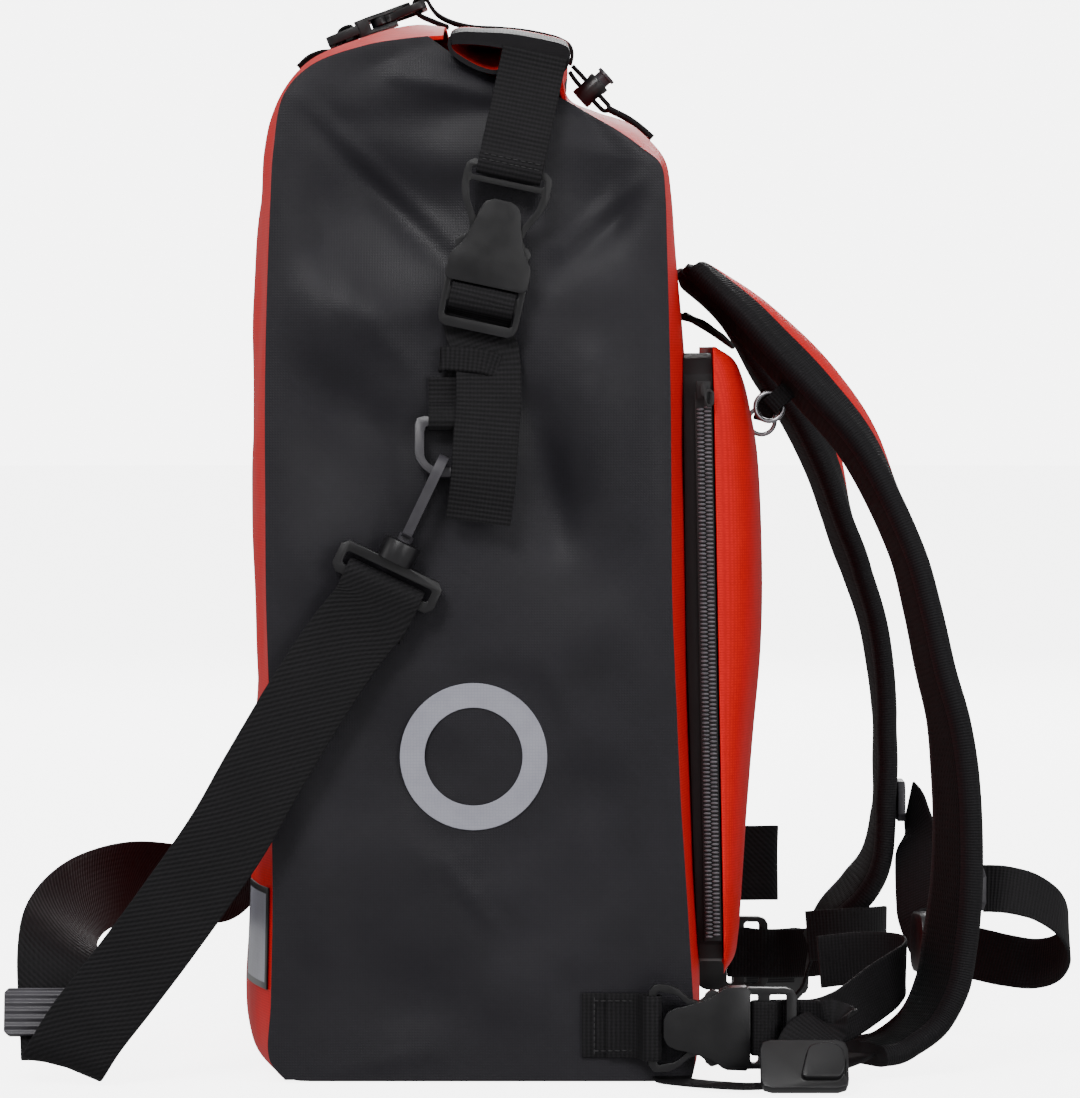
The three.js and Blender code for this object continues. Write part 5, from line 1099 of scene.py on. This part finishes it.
def stagePiece(name, points, faces, colour, glow):
    material, tree, bsdf = newMaterial(f"{name}_paper", {"Base Color": (colour, colour, colour, 1), "Roughness": 0.9,
                                                         "Emission Color": (1, 1, 1, 1), "Emission Strength": glow,
                                                         "Specular IOR Level": 0.1})
    mesh = bpy.data.meshes.new(name)
    mesh.from_pydata(points, [], faces)
    mesh.materials.append(material)
    piece = bpy.data.objects.new(name, mesh)
    bpy.context.scene.collection.objects.link(piece)
    piece.visible_diffuse = False  # lit paper seen behind the bag, whose light comes from the lamps and the world
    piece.visible_glossy = False
    piece.visible_shadow = False


n, radius, below = stage["sides"], stage["radius"], stage["below"]
rim = [(radius * math.cos(a), radius * math.sin(a)) for a in np.linspace(0, 2 * math.pi, n, endpoint=False)]
stagePiece("floor", [(x, y, -below) for x, y in rim], [tuple(range(n))], 0.92, stage["floorGlow"])
dome = [(x * math.cos(b), y * math.cos(b), radius * math.sin(b) - below)
        for b in np.linspace(0, 1.5, stage["rings"]) for x, y in rim]
last = (stage["rings"] - 1) * n
domeFaces = [(k + i, k + (i + 1) % n, k + n + (i + 1) % n, k + n + i) for k in range(0, last, n) for i in range(n)]
stagePiece("backdrop", dome, domeFaces + [tuple(range(last, last + n))], 0.0, stage["skyGlow"])

world = bpy.data.worlds.new("studio")
world.use_nodes = True
world.node_tree.nodes["Background"].inputs["Color"].default_value = (1, 1, 1, 1)
world.node_tree.nodes["Background"].inputs["Strength"].default_value = stage["worldGlow"]
bpy.context.scene.world = world

lamps = [
    # name, place, aim, size, watts
    ("key", (-0.8, -2.3, 2.1), (0, 0, 0.28), 0.9, 58),
    ("fill", (1.7, -2.6, 0.7), (0, 0, 0.2), 1.4, 26),
    ("top", (0.1, -0.5, 2.6), (0, 0, 0.2), 1.6, 7),
    ("rim_left", (-2.4, -0.6, 1.0), (0, 0, 0.3), 1.0, 4),
    ("rim_right", (2.4, -0.8, 1.0), (0, 0, 0.3), 1.0, 12),
    ("behind", (0.4, 2.9, 1.6), (0, 0, 0.28), 1.2, 46),
]
for name, place, aim, size, watts in lamps:
    lamp = bpy.data.objects.new(name, bpy.data.lights.new(name, "AREA"))
    lamp.data.size = size
    lamp.data.energy = watts
    lamp.location = place
    lamp.rotation_euler = (Vector(aim) - Vector(place)).to_track_quat("-Z", "Y").to_euler()
    bpy.context.scene.collection.objects.link(lamp)
print("stage lit")
